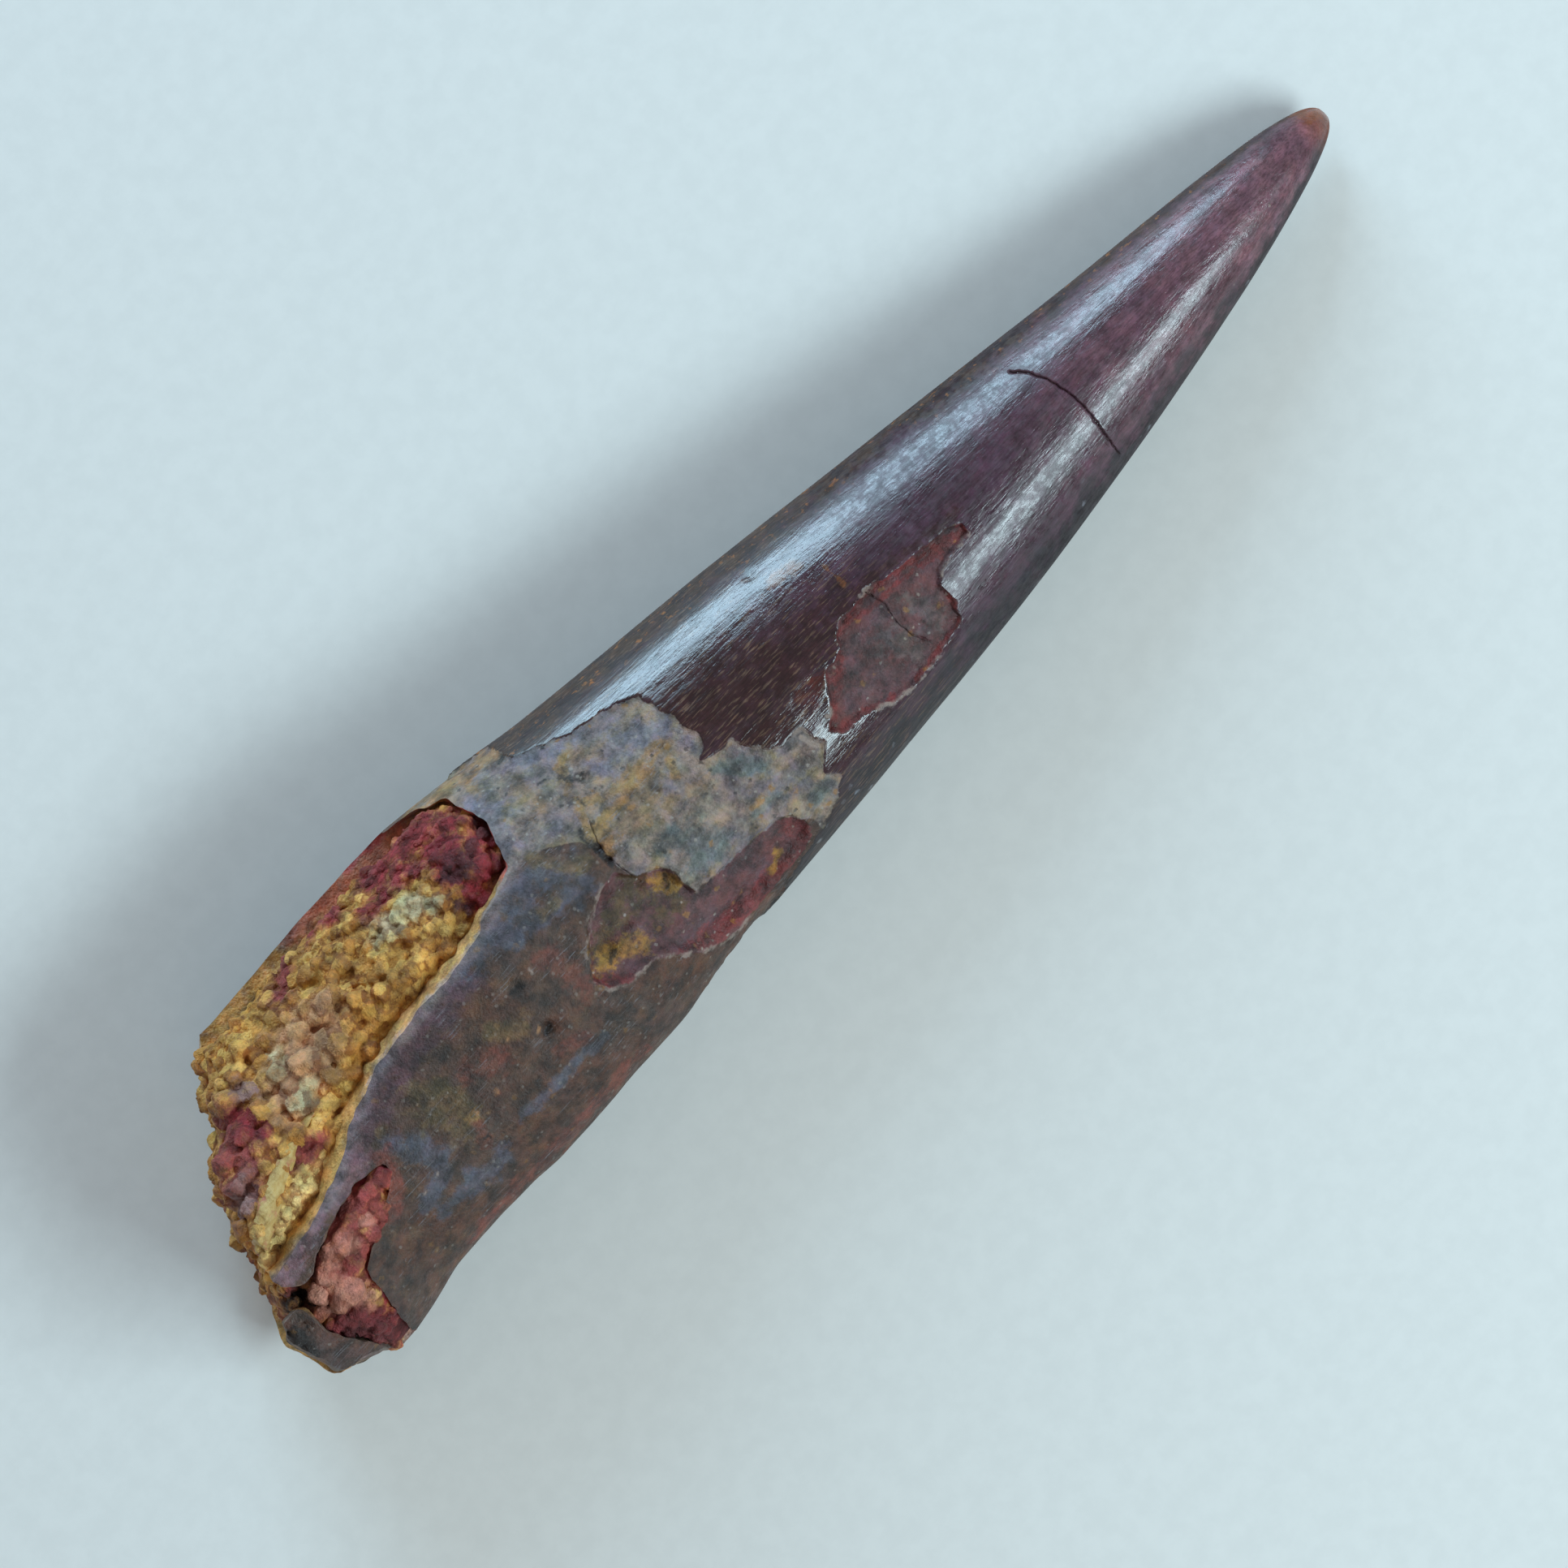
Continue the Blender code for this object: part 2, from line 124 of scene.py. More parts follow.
# Stains of the skin, seen from above: name, colour on a screen, and strokes of a width along a line
ROOT_STAINS = [
    ("violet", (92, 70, 78), [
        (0.55, [(-19.5, -0.5), (-18.0, 0.1), (-16.0, 0.3), (-14.0, 0.4), (-12.5, 0.6)]),
    ]),
    ("blue_grey", (84, 86, 98), [
        (0.6, [(-12.4, 1.0), (-10.5, 1.1), (-9.0, 1.2), (-8.0, 0.8)]),
        (0.5, [(-10.8, 0.4), (-9.5, 0.3), (-8.0, -0.1)]),
        (0.6, [(-17.8, -1.2), (-17.3, -2.0), (-17.2, -2.7)]),
        (0.35, [(-18.6, -3.2), (-17.4, -3.0)]),
        (0.4, [(-18.3, -3.7), (-16.8, -3.7), (-15.8, -3.9)]),
        (0.25, [(-14.6, -3.5), (-12.6, -3.5), (-11.0, -3.6)]),
    ]),
    ("olive", (106, 88, 64), [
        (0.8, [(-16.2, -0.8), (-15.6, -1.5), (-15.8, -2.3)]),
        (0.5, [(-13.2, -1.1), (-12.6, -1.7)]),
        (0.3, [(-17.7, -0.7)]),
        (0.3, [(-8.6, 1.6), (-8.0, 0.7), (-7.6, 0.4)]),
        (0.3, [(-9.6, 0.35), (-9.0, 0.3)]),
    ]),
    ("russet", (112, 68, 60), [
        (0.5, [(-10.5, -0.8), (-10.4, -1.6), (-10.3, -2.3)]),
        (0.5, [(-14.6, -1.4), (-13.6, -1.8)]),
        (0.3, [(-15.6, -2.7), (-15.9, -3.2)]),
        (0.14, [(-14.5, -2.4)]),
        (0.25, [(-12.3, -2.9), (-11.4, -3.3)]),
        (0.18, [(-18.5, -4.9), (-14.0, -4.95), (-10.5, -4.8)]),
    ]),
    ("tongue", (128, 98, 106), [(0.5, [(-18.8, -0.8), (-20.5, -1.0), (-22.8, -1.6)])]),
    ("lilac", (118, 112, 124), [
        (0.7, [(-8.4, 4.0), (-8.7, 3.3), (-9.0, 2.6)]),
        (0.6, [(-5.2, 2.2), (-4.2, 2.0), (-3.3, 1.8)]),
        (0.5, [(-7.0, 4.1), (-6.0, 3.9), (-5.0, 3.4)]),
        (0.4, [(-3.1, 1.2), (-2.8, 0.6)]),
    ]),
    ("tan", (136, 112, 86), [
        (0.6, [(-6.2, 0.3), (-5.2, 0.2), (-4.6, 0.7)]),
        (0.35, [(-7.4, 3.5), (-7.3, 2.6)]),
        (0.4, [(-5.5, 2.9), (-5.0, 2.6)]),
        (0.4, [(-4.3, -0.3), (-3.6, -0.6)]),
    ]),
    ("pale_green", (106, 112, 112), [
        (0.45, [(-5.6, -1.0), (-4.6, -1.2), (-4.2, -2.1)]),
        (0.4, [(-5.4, -2.1), (-4.4, -2.3)]),
        (0.4, [(-2.7, -0.6), (-2.1, -1.0), (-1.8, -1.5)]),
        (0.3, [(-3.0, -2.3), (-2.1, -2.5)]),
        (0.3, [(-1.6, -3.3), (-0.8, -3.4)]),
    ]),
    ("ochre", (148, 114, 72), [
        (0.22, [(-6.9, 0.9), (-6.4, 1.8), (-6.0, 1.4), (-5.2, 1.2), (-4.5, 1.3), (-3.6, 1.3), (-3.1, 1.0)]),
        (0.22, [(-6.9, 0.9), (-6.6, 0.4), (-6.8, 0.0)]),
        (0.2, [(-6.4, 2.3), (-6.2, 2.9), (-5.8, 3.1)]),
        (0.2, [(-3.6, 0.7), (-3.9, 0.2)]),
        (0.16, [(-15.8, -2.35), (-15.4, -2.45)]),
        (0.15, [(-3.0, -2.1), (-2.6, -2.2)]),
        (0.4, [(-10.4, 5.3), (-9.0, 5.1), (-8.0, 4.9), (-7.2, 4.8)]),
        (0.25, [(-8.4, 4.6), (-8.3, 4.2)]),
        (0.4, [(-20.3, 5.2), (-18.0, 5.5), (-16.5, 5.6)]),
    ]),
    ("stump", (76, 62, 60), [
        (0.9, [(-24.2, -3.4), (-23.9, -4.4), (-23.4, -4.8)]),
        (0.2, [(-20.8, -3.6), (-21.3, -4.4), (-21.5, -5.0)]),
    ]),
    ("breach_glow", (126, 72, 62), [(0.42, [(-18.2, -1.3), (-18.5, -2.0), (-19.5, -2.7)])]),
]
# Small marks of the root, drawn over its stains in the same way
ROOT_MARKS = [
    ("dark", (34, 26, 26), [
        (0.2, [(-11.95, -0.7), (-11.6, -0.75)]),
        (0.13, [(-12.2, -2.4), (-11.9, -2.2)]),
        (0.16, [(-5.9, 2.35), (-5.7, 2.25)]),
        (0.13, [(-7.0, 1.2), (-7.15, 0.6), (-7.05, -0.2)]),
        (0.1, [(-6.9, 3.1), (-6.6, 3.0)]),
        (0.16, [(-6.3, 2.8), (-6.1, 2.5)]),
        (0.1, [(-6.0, 1.7), (-5.5, 1.6)]),
        (0.1, [(-6.4, 1.9), (-6.3, 1.6)]),
        (0.1, [(-5.3, 1.0)]),
        (0.3, [(-24.0, -2.9), (-23.9, -3.2), (-24.1, -3.8)]),
        (0.16, [(-23.6, -3.1)]),
        (0.15, [(-7.3, 4.45), (-6.2, 4.4)]),
        (0.1, [(-17.7, -0.75)]),
        (0.08, [(-15.9, -3.1), (-15.6, -3.2)]),
    ]),
    ("crumbs", (176, 130, 92), [
        (0.12, [(-15.33, -2.42)]),
        (0.14, [(-14.5, -2.38)]),
        (0.11, [(-13.15, -1.57)]),
        (0.08, [(-12.35, -2.15), (-12.15, -2.0)]),
        (0.07, [(-13.4, -3.55)]),
        (0.08, [(-16.1, -2.0)]),
        (0.07, [(-5.0, 1.45)]),
        (0.07, [(-10.7, -0.9)]),
    ]),
]
FLAKE_STAINS = [
    ("brick_red", (116, 58, 58), [
        (0.26, [(-7.5, -3.7), (-6.8, -4.1), (-5.0, -4.2), (-2.5, -4.1)]),
        (0.4, [(-2.5, -3.3), (-2.5, -3.8)]),
        (0.25, [(-10.0, -2.2), (-9.7, -2.8), (-9.2, -3.0)]),
        (0.15, [(-9.9, -1.9), (-9.1, -1.1)]),
        (0.26, [(0.5, -2.3), (0.9, -1.7), (1.4, -1.2), (2.2, -0.8)]),
        (0.12, [(2.6, -0.4), (4.2, -0.2), (6.0, -0.55), (7.4, -0.9)]),
        (0.2, [(0.7, -2.4), (1.6, -2.65), (2.4, -2.95)]),
        (0.12, [(3.4, -3.1), (4.6, -3.0), (5.6, -2.8)]),
        (0.2, [(6.8, -1.0), (7.6, -1.0)]),
        (0.26, [(0.8, -1.9), (0.6, -2.4)]),
        (0.12, [(5.9, -2.0), (5.8, -2.5)]),
    ]),
    ("greyish", (98, 84, 84), [(0.6, [(3.7, -1.6), (3.9, -2.3)]), (0.5, [(5.0, -1.4), (5.1, -2.2)])]),
    ("flake_olive", (88, 72, 52), [
        (0.7, [(-9.3, -1.7), (-8.0, -1.4), (-7.0, -1.2)]),
        (0.5, [(-7.2, -2.4), (-6.5, -2.3)]),
    ]),
    ("flake_ochre", (152, 112, 58), [
        (0.45, [(-9.6, -1.95), (-9.1, -1.9), (-8.6, -2.1), (-8.3, -2.5)]),
        (0.35, [(-6.6, -1.5), (-6.2, -2.0)]),
        (0.15, [(-4.0, -3.9), (-3.3, -3.7)]),
    ]),
    ("flake_dark", (44, 30, 28), [
        (0.14, [(-9.2, -2.2), (-8.95, -2.05)]),
        (0.1, [(-8.2, -2.05)]),
        (0.1, [(-7.0, -1.45)]),
        (0.1, [(-6.5, -1.9), (-6.3, -1.6)]),
    ]),
]
ENAMEL_STAINS = [
    ("darkest", (64, 43, 44), [
        (0.9, [(-2.4, 1.3), (-1.0, 0.5), (1.0, 0.0), (3.6, -0.1)]),
        (0.5, [(-1.4, -0.7), (-0.2, -1.2)]),
        (0.2, [(3.6, 0.1), (6.0, -0.2), (8.0, -0.5)]),
    ]),
    ("reddish", (92, 52, 46), [(0.35, [(0.5, -0.95), (1.4, -1.0)])]),
    ("rusty", (134, 88, 60), [
        (0.28, [(2.6, 2.15), (3.3, 2.0)]),
        (0.06, [(3.95, 1.3), (3.97, 0.4)]),
        (0.25, [(24.6, -0.1), (24.3, 0.3)]),
    ]),
    ("fine_line", (40, 34, 46), [
        (0.06, [(-1.5, 3.5), (-1.6, 3.2), (-1.85, 2.9)]),
        (0.1, [(2.2, 2.95), (2.35, 2.7)]),
    ]),
]
# Where a flake's rim is chipped white, and the white chips elsewhere
WHITE_RIMS = [
    (0.3, [(-10.2, -2.5), (-9.8, -3.05), (-8.3, -3.2), (-7.7, -3.75), (-7.0, -4.25), (-5.6, -4.5)]),
    (0.3, [(-10.0, -1.6), (-9.4, -1.15), (-8.8, -0.85), (-7.9, -0.4)]),
    (0.2, [(-1.9, -0.3), (-1.65, -0.9), (-1.1, -1.45)]),
    (0.3, [(-0.2, -1.6), (0.05, -2.3)]),
    (0.18, [(0.5, -2.0), (0.8, -1.8)]),
    (0.15, [(4.1, -0.1), (4.3, -0.1)]),
    (0.2, [(2.0, -2.9), (3.2, -3.2), (4.6, -3.1)]),
    (0.15, [(6.2, -1.4), (7.6, -1.2)]),
]
WHITE_MARKS = [
    (0.07, [(-12.2, 1.3), (-11.3, 1.55), (-10.2, 1.78), (-9.3, 1.9)]),
    (0.07, [(0.66, -1.85), (0.7, -1.95)]),
    (0.06, [(4.2, -0.05), (4.25, -0.2)]),
    (0.1, [(-0.35, -1.75), (-0.2, -2.3)]),
    (0.05, [(-7.8, 2.45)]),
    (0.04, [(-7.3, 2.2)]),
    (0.04, [(20.7, -1.1)]),
    (0.04, [(21.5, -1.0)]),
    (0.04, [(19.0, -1.9)]),
    (0.03, [(-11.0, -0.9), (-11.15, -0.5)]),
    (0.03, [(-18.3, -2.95), (-17.5, -2.8)]),
]

# The broken end seen from above: of the wall, then of the sandstone
WALL_END = [
    (-18.8, 6.6), (-19.9, 5.3), (-20.5, 4.7), (-20.7, 4.0), (-21.2, 3.1), (-22.0, 2.0), (-22.6, 0.9),
    (-23.2, 0.0), (-23.8, -0.8), (-24.6, -2.1), (-25.0, -3.0), (-24.5, -4.75), (-23.0, -5.3),
    (-22.1, -5.75), (-21.6, -6.8),
]
FILL_END = [
    (-20.1, 6.0), (-20.4, 4.2), (-21.1, 3.8), (-21.5, 2.6), (-22.4, 2.2), (-22.75, 1.6), (-22.8, 0.95),
    (-23.4, 0.3), (-23.5, -0.5), (-23.9, -1.3), (-24.2, -2.4), (-24.2, -3.2), (-23.5, -4.2), (-22.7, -5.2),
    (-22.4, -6.2),
]
BEYOND = -27.0
ABOVE = 10.5
END_LEAN = [(-1.0, 0.9), (0.9, 0.0), (2.6, 0.0), (4.6, 0.12), (6.4, 0.35), (ABOVE, 1.1)]
END_JITTER = 0.3

# The openings broken through the wall, as in its solid
UPPER_RIM = [
    (-8.72, 3.4), (-9.0, 2.7), (-9.25, 2.05), (-10.0, 1.8), (-11.0, 1.5), (-12.5, 1.15), (-14.5, 1.05),
    (-16.5, 0.75), (-18.2, 0.2), (-19.4, -0.45), (-20.4, -0.78), (-22.0, -0.9), (-23.4, -1.2),
]
NEAR_RIM = UPPER_RIM[4:]
FAR_RIM = [(-12.6, 7.5), (-11.2, 5.9), (-9.9, 5.4), (-9.15, 4.9), (-8.9, 4.2)]
RIM_Z = 8.1
RIM_SLOPE = (-0.25, 0.45)
FAR_RIM_Z = 4.3
FAR_RIM_SLOPE = (-1.0, -0.5)
TONGUE_SIDE = [
    (-18.3, -1.35), (-19.5, -1.2), (-20.6, -1.4), (-21.8, -1.85), (-22.3, -2.15), (-22.8, -2.1),
    (-23.15, -1.75), (-23.2, -0.9),
]
STUMP_SIDE = [(-27.0, -0.3), (-25.5, -2.5), (-23.2, -2.5), (-23.3, -3.7), (-22.5, -5.2), (-22.4, -7.5)]
LOWER_RIM = [(-21.8, -7.5), (-21.6, -5.2), (-21.3, -4.2), (-21.1, -3.2), (-19.6, -2.55), (-18.6, -1.9)]
LOWER_CUT_Z = 4.1

SAND_STAINS = [
    ("beige_pink", (210, 160, 118), [(1.1, [(-16.4, 2.9), (-17.6, 3.1), (-18.6, 2.5), (-19.0, 1.8)])]),
    ("orange_sand", (218, 160, 74), [
        (0.5, [(-17.0, 5.0), (-19.0, 5.2), (-20.4, 4.9)]),
        (0.6, [(-16.0, 2.0), (-15.2, 2.0)]),
        (0.4, [(-12.9, 2.0), (-12.3, 1.6)]),
        (0.4, [(-21.2, 3.8), (-20.9, 4.2)]),
        (0.3, [(-22.2, -5.6)]),
    ]),
    ("pale_yellow", (255, 224, 150), [(0.5, [(-19.8, 0.0), (-20.8, -0.25), (-22.9, -0.6)])]),
    ("rose", (166, 78, 74), [
        (0.9, [(-20.8, 3.0), (-21.0, 1.9), (-21.9, 1.1)]),
        (0.4, [(-16.3, 4.9), (-17.0, 4.3)]),
        (0.35, [(-20.4, 0.5), (-19.2, 0.5)]),
        (0.8, [(-20.9, -2.4), (-18.8, -1.7)]),
        (1.0, [(-22.8, -2.9), (-21.6, -2.7)]),
        (0.9, [(-22.3, -4.0), (-21.9, -5.4)]),
        (0.7, [(-21.1, -3.3), (-19.6, -2.5)]),
        (0.6, [(-23.0, -2.0), (-20.8, -1.5), (-18.9, -1.4)]),
    ]),
    ("mauve", (164, 126, 122), [(0.4, [(-19.9, 3.3), (-19.6, 2.9)]), (0.5, [(-21.6, 1.3), (-22.4, 0.6)])]),
    ("deep_red", (154, 48, 58), [
        (0.8, [(-9.2, 3.5), (-9.7, 2.5), (-10.6, 2.1)]),
        (0.7, [(-9.6, 4.2), (-10.6, 3.9), (-10.8, 3.0)]),
        (0.45, [(-12.5, 4.2), (-13.4, 4.2)]),
        (0.6, [(-20.6, 2.5), (-20.4, 1.9)]),
        (0.8, [(-22.9, -4.0), (-22.0, -4.7), (-21.7, -5.2)]),
        (0.3, [(-19.3, -1.3), (-18.4, -1.5)]),
        (0.3, [(-21.2, -3.9), (-21.4, -4.8)]),
    ]),
    ("magenta", (164, 62, 68), [
        (0.7, [(-10.0, 4.8), (-11.4, 4.7), (-12.6, 4.9)]),
        (0.4, [(-11.2, 4.0), (-12.0, 4.2)]),
        (0.5, [(-14.0, 5.0), (-15.0, 5.2)]),
    ]),
    ("darkest_red", (86, 28, 36), [
        (0.35, [(-10.9, 3.1), (-10.3, 2.9), (-10.0, 3.3)]),
        (0.3, [(-9.0, 3.6), (-9.0, 3.1)]),
        (0.25, [(-11.3, 2.6), (-11.0, 2.0)]),
    ]),
    ("cream", (212, 200, 158), [
        (0.6, [(-13.4, 3.5), (-12.5, 3.3), (-11.8, 3.1)]),
        (0.5, [(-18.4, 3.1)]),
        (0.5, [(-18.9, 1.6), (-18.3, 1.8)]),
    ]),
    ("salmon", (216, 150, 130), [
        (0.5, [(-22.9, -2.9), (-22.3, -2.6), (-21.9, -3.3), (-21.8, -3.9)]),
        (0.4, [(-21.9, -2.2), (-21.0, -2.3)]),
        (0.35, [(-20.0, -2.2)]),
        (0.3, [(-22.6, 1.8)]),
    ]),
    ("end_brown", (104, 84, 58), [(0.5, [(-23.4, -0.2), (-23.9, -1.2), (-24.4, -2.2)])]),
    ("wine", (112, 44, 48), [(0.8, [(-22.7, -4.1), (-22.0, -5.0)]), (0.3, [(-10.0, 3.0), (-9.2, 3.4)])]),
    # Painted shadow: the hole between the tongue and the stump is painted near black
    ("hole_painted_shadow", (34, 22, 20), [(0.45, [(-23.6, -2.2), (-22.8, -2.35)])]),
]
BREAK_STAINS = [
    ("break_orange", (200, 152, 84), [
        (0.8, [(-17.6, 0.4), (-19.2, -0.3), (-22.0, -0.7), (-23.2, -0.9)]),
        (0.6, [(-20.0, 5.0), (-18.0, 5.4), (-16.4, 5.5)]),
        (0.4, [(-9.4, 4.9), (-8.8, 4.2)]),
    ]),
    ("break_grey", (104, 82, 84), [(0.5, [(-19.0, -1.3), (-21.0, -1.6), (-23.0, -2.1), (-23.4, -1.6)])]),
    ("break_red", (188, 108, 86), [
        (0.7, [(-18.3, -1.7), (-19.6, -2.6), (-21.1, -3.2), (-21.5, -5.2)]),
        (0.7, [(-15.4, 5.5), (-13.6, 5.3), (-12.0, 5.2), (-10.8, 5.0)]),
        (0.5, [(-8.9, 3.2), (-9.6, 2.0)]),
    ]),
    ("break_olive", (118, 104, 72), [(0.3, [(-19.8, 4.4), (-18.6, 4.8), (-17.5, 4.9)])]),
    # Magenta-red stain, painted lighter than it is so that it stays bright where the wall's shadow falls:
    # partly painted light
    ("break_wine_and_painted_light", (184, 84, 84), [
        (0.5, [(-9.0, 4.6), (-8.9, 3.4), (-9.3, 2.1)]),
        (0.25, [(-11.4, 5.6), (-13.0, 5.7)]),
    ]),
    ("break_umber", (110, 84, 56), [
        (0.7, [(-20.9, 4.2), (-21.6, 2.8), (-23.3, 0.0)]),
        (0.7, [(-23.9, -1.0), (-24.8, -3.0)]),
    ]),
    ("break_stump", (84, 70, 68), [
        (1.0, [(-25.0, -2.8), (-24.9, -3.6), (-24.2, -4.8), (-23.0, -5.4)]),
        (0.6, [(-23.8, -2.6), (-23.3, -3.7), (-22.5, -5.2)]),
    ]),
    # Dark spots on the stump's break, and painted shadow on the broken faces inside the hole beside the
    # tongue
    ("break_dark_and_hole_shadow", (40, 28, 28), [
        (0.25, [(-24.5, -3.0), (-24.4, -3.7)]),
        (0.2, [(-23.6, -2.3), (-23.2, -2.3)]),
    ]),
]
# Dark holes between the grains: X, Y, radius and depth
HOLES = [
    (-23.1, -2.3, 0.5, 1.3), (-20.55, 3.4, 0.22, 0.4), (-19.15, 3.15, 0.16, 0.35), (-10.5, 2.9, 0.3, 0.35),
    (-14.8, 2.4, 0.2, 0.3), (-15.9, 3.6, 0.16, 0.3), (-18.8, 1.1, 0.16, 0.25), (-20.4, 4.3, 0.2, 0.3),
]

# The sandstone: how far it lies below the tooth's surface where it shows in the upper and lower opening
UPPER_SAND_DEPTH = 0.4
LOWER_SAND_DEPTH = 0.25
WALL_OVERLAP = 0.05
BURIED_DEPTH = WALL + 0.3

# Sand grains: the usual size, and for each size class its scale, its spacing in grain sizes and its tries
GRAIN_SIZE = 0.36
GRAIN_CLASSES = [(1.25, 0.84, 6000), (0.8, 0.76, 5500), (0.5, 0.74, 3000)]
GRAIN_SHAPES = 9
GRAIN_CELL = 0.6
# Where the grains are coarse, middling, and few and small, as strokes of a width along a line
COARSE_SAND = [(1.3, [(-16.6, 2.8), (-18.0, 3.0), (-19.0, 1.8)]), (0.8, [(-22.3, -3.2), (-21.8, -2.4)])]
MIDDLING_SAND = [(1.4, [(-20.6, 3.2), (-21.5, 1.5), (-22.6, 0.4)]), (0.8, [(-21.0, -2.2), (-19.0, -1.7)])]
SMOOTH_SAND = [
    (0.9, [(-10.4, 4.8), (-13.4, 4.7)]),
    (0.6, [(-16.5, 4.7), (-17.0, 4.3)]),
    (0.7, [(-19.5, 5.0), (-17.5, 5.2)]),
    (0.45, [(-19.0, 0.2), (-20.6, -0.15), (-22.9, -0.5)]),
]

# The crest of the thin plate that stands in the sand, seen from above. It is dropped onto the sand from a
# height, and then sinks into it
PLATE_LINE = [(-18.7, 1.2), (-19.6, 1.1), (-20.8, 0.6), (-22.0, 0.05), (-23.1, -0.5)]
PLATE_DROP_Z = 12.0
PLATE_SINK = 0.03
PLATE_HALF_HEIGHT = 0.36

# Colours as a screen shows them, from 0 to 255
PALE_SPECK = (172, 164, 156)
DARK_SPECK = (40, 32, 32)
OCHRE_SPECK = (164, 120, 66)
DENTINE_BROWN = (86, 60, 50)
DENTINE_GREY = (82, 66, 60)
DENTINE_TAN = (96, 72, 58)
WEATHERED_CREAM = (136, 120, 108)
WEATHERED_LILAC = (118, 108, 112)
WEATHERED_TAN = (134, 116, 94)
WALL_LIP = (122, 110, 114)
ROOT_SCRATCH = (138, 136, 142)
FLAKE_RED = (98, 64, 64)
FLAKE_GREY = (94, 70, 74)
ENAMEL_BROWN = (72, 54, 56)
# The maroon and the rose are greyed towards purple by a painted sheen of the reflection haze
ENAMEL_MAROON_AND_SHEEN = (86, 64, 76)
ENAMEL_ROSE_AND_SHEEN = (134, 96, 106)
ENAMEL_STREAK = (70, 54, 64)
ENAMEL_FLECK = (128, 104, 88)
ENAMEL_HAIR = (42, 26, 30)
TIP_ORANGE = (150, 84, 58)
FLANK_OLIVE = (80, 60, 44)
FLANK_DARK = (54, 38, 40)
FLANK_ORANGE = (156, 100, 54)
FLANK_SLATE = (56, 56, 58)
# Painted highlight: pale specks on the slate of the near flank
FLANK_HIGHLIGHT_SPECK = (114, 118, 124)
WHITE_CHIP = (168, 150, 140)
CRACK_DARK = (42, 20, 20)
BREAK_OCHRE = (206, 164, 98)
BREAK_TAN = (188, 142, 88)
BREAK_LIP = (166, 146, 138)
SAND_OCHRE = (204, 140, 52)
SAND_LIGHT = (230, 184, 102)
SAND_RED = (160, 84, 72)
GRAIN_SHADE = (196, 178, 174)
GRAIN_LIGHT = (255, 250, 240)
# Painted shade of the recesses and joints between the sand grains
SAND_GAP_SHADE = (150, 96, 66)
SAND_SPECK = (120, 84, 60)
PLATE_OLIVE = (188, 152, 86)
PLATE_CREAM = (204, 174, 112)
PLATE_PINK = (186, 112, 84)
PAPER = (222, 222, 220)
PAPER_LIGHT = (226, 226, 224)

FLOAT, VECTOR, COLOUR = "NodeSocketFloat", "NodeSocketVector", "NodeSocketColor"

# How the photograph frames the tooth
PICTURE_TURN = math.radians(46.69)
PICTURE_WIDTH = 48.25
PICTURE_CENTRE = (-1.74, -2.34)
CAMERA_HEIGHT = 250.0
SILHOUETTE_Z = 3.6

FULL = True
TOOTH_SIDES = 190 if FULL else 120
TOOTH_RINGS = 430 if FULL else 270
FILL_SIDES = 170 if FULL else 110
FILL_RINGS = 190 if FULL else 120
VOXEL = 0.13 if FULL else 0.2
GRAIN_VOXEL = 0.066 if FULL else 0.09


def smooth_curve(stations):
    """A function that runs smoothly through (position, value) stations and never overshoots them."""
    at, value = (np.array(column, float) for column in zip(*stations))
    secant = np.diff(value) / np.diff(at)
    before, after = secant[:-1], secant[1:]
    inner = np.where(before * after > 0, 2 * before * after / (before + after + 1e-12), 0.0)
    slope = np.concatenate([secant[:1], inner, secant[-1:]])

    def curve(x):
        i = np.clip(np.searchsorted(at, x) - 1, 0, len(at) - 2)
        step = at[i + 1] - at[i]
        t = np.clip((x - at[i]) / step, 0.0, 1.0)
        ends = value[i] * (1 + 2 * t) * (1 - t) ** 2 + value[i + 1] * t * t * (3 - 2 * t)
        return ends + step * t * (1 - t) * (slope[i] * (1 - t) - slope[i + 1] * t)

    return curve


def smoothstep(low, high, x):
    t = np.clip((x - low) / (high - low), 0.0, 1.0)
    return t * t * (3 - 2 * t)


half_width_by_root = smooth_curve([(math.sqrt(distance), half) for distance, half in HALF_WIDTHS])
height_share = smooth_curve(HEIGHT_SHARES)
midline = smooth_curve(MIDLINE)


def section(x):
    """The middle's Y and Z, and half the width and height, of the tooth's sections at x."""
    half = half_width_by_root(np.sqrt(np.maximum(TIP_X - x, 0.0)))
    tall = height_share(x) * half
    belly = TIP_LIFT * ((x - REST_X) / (TIP_X - REST_X)) ** 2 - FLAT_DEPTH
    return midline(x), belly + tall, half, tall


def section_points(x, angle, inset):
    """Points of the sections at x in the direction of angle, moved in by inset; angle 0 is +Y."""
    y, z, half, tall = section(x)
    across = np.maximum(half - inset, 0.0) * np.cos(angle)
    up = np.maximum(tall - inset, 0.0) * np.sin(angle)
    return np.stack([x, y + across, z + up], axis=1)


def around(points):
    """The direction of each point from the middle of its section, as across and up."""
    y, z, half, tall = section(points[:, 0])
    across = (points[:, 1] - y) / np.maximum(half, 1e-6)
    up = (points[:, 2] - z) / np.maximum(tall, 1e-6)
    length = np.maximum(np.hypot(across, up), 1e-9)
    return across / length, up / length


def to_line(line, x, y):
    """Distance from each (x, y) to an open line."""
    near = np.full(len(x), np.inf)
    for (x0, y0), (x1, y1) in zip(line, line[1:]):
        along = ((x - x0) * (x1 - x0) + (y - y0) * (y1 - y0)) / ((x1 - x0) ** 2 + (y1 - y0) ** 2)
        along = np.clip(along, 0.0, 1.0)
        near = np.minimum(near, np.hypot(x - x0 - along * (x1 - x0), y - y0 - along * (y1 - y0)))
    return near


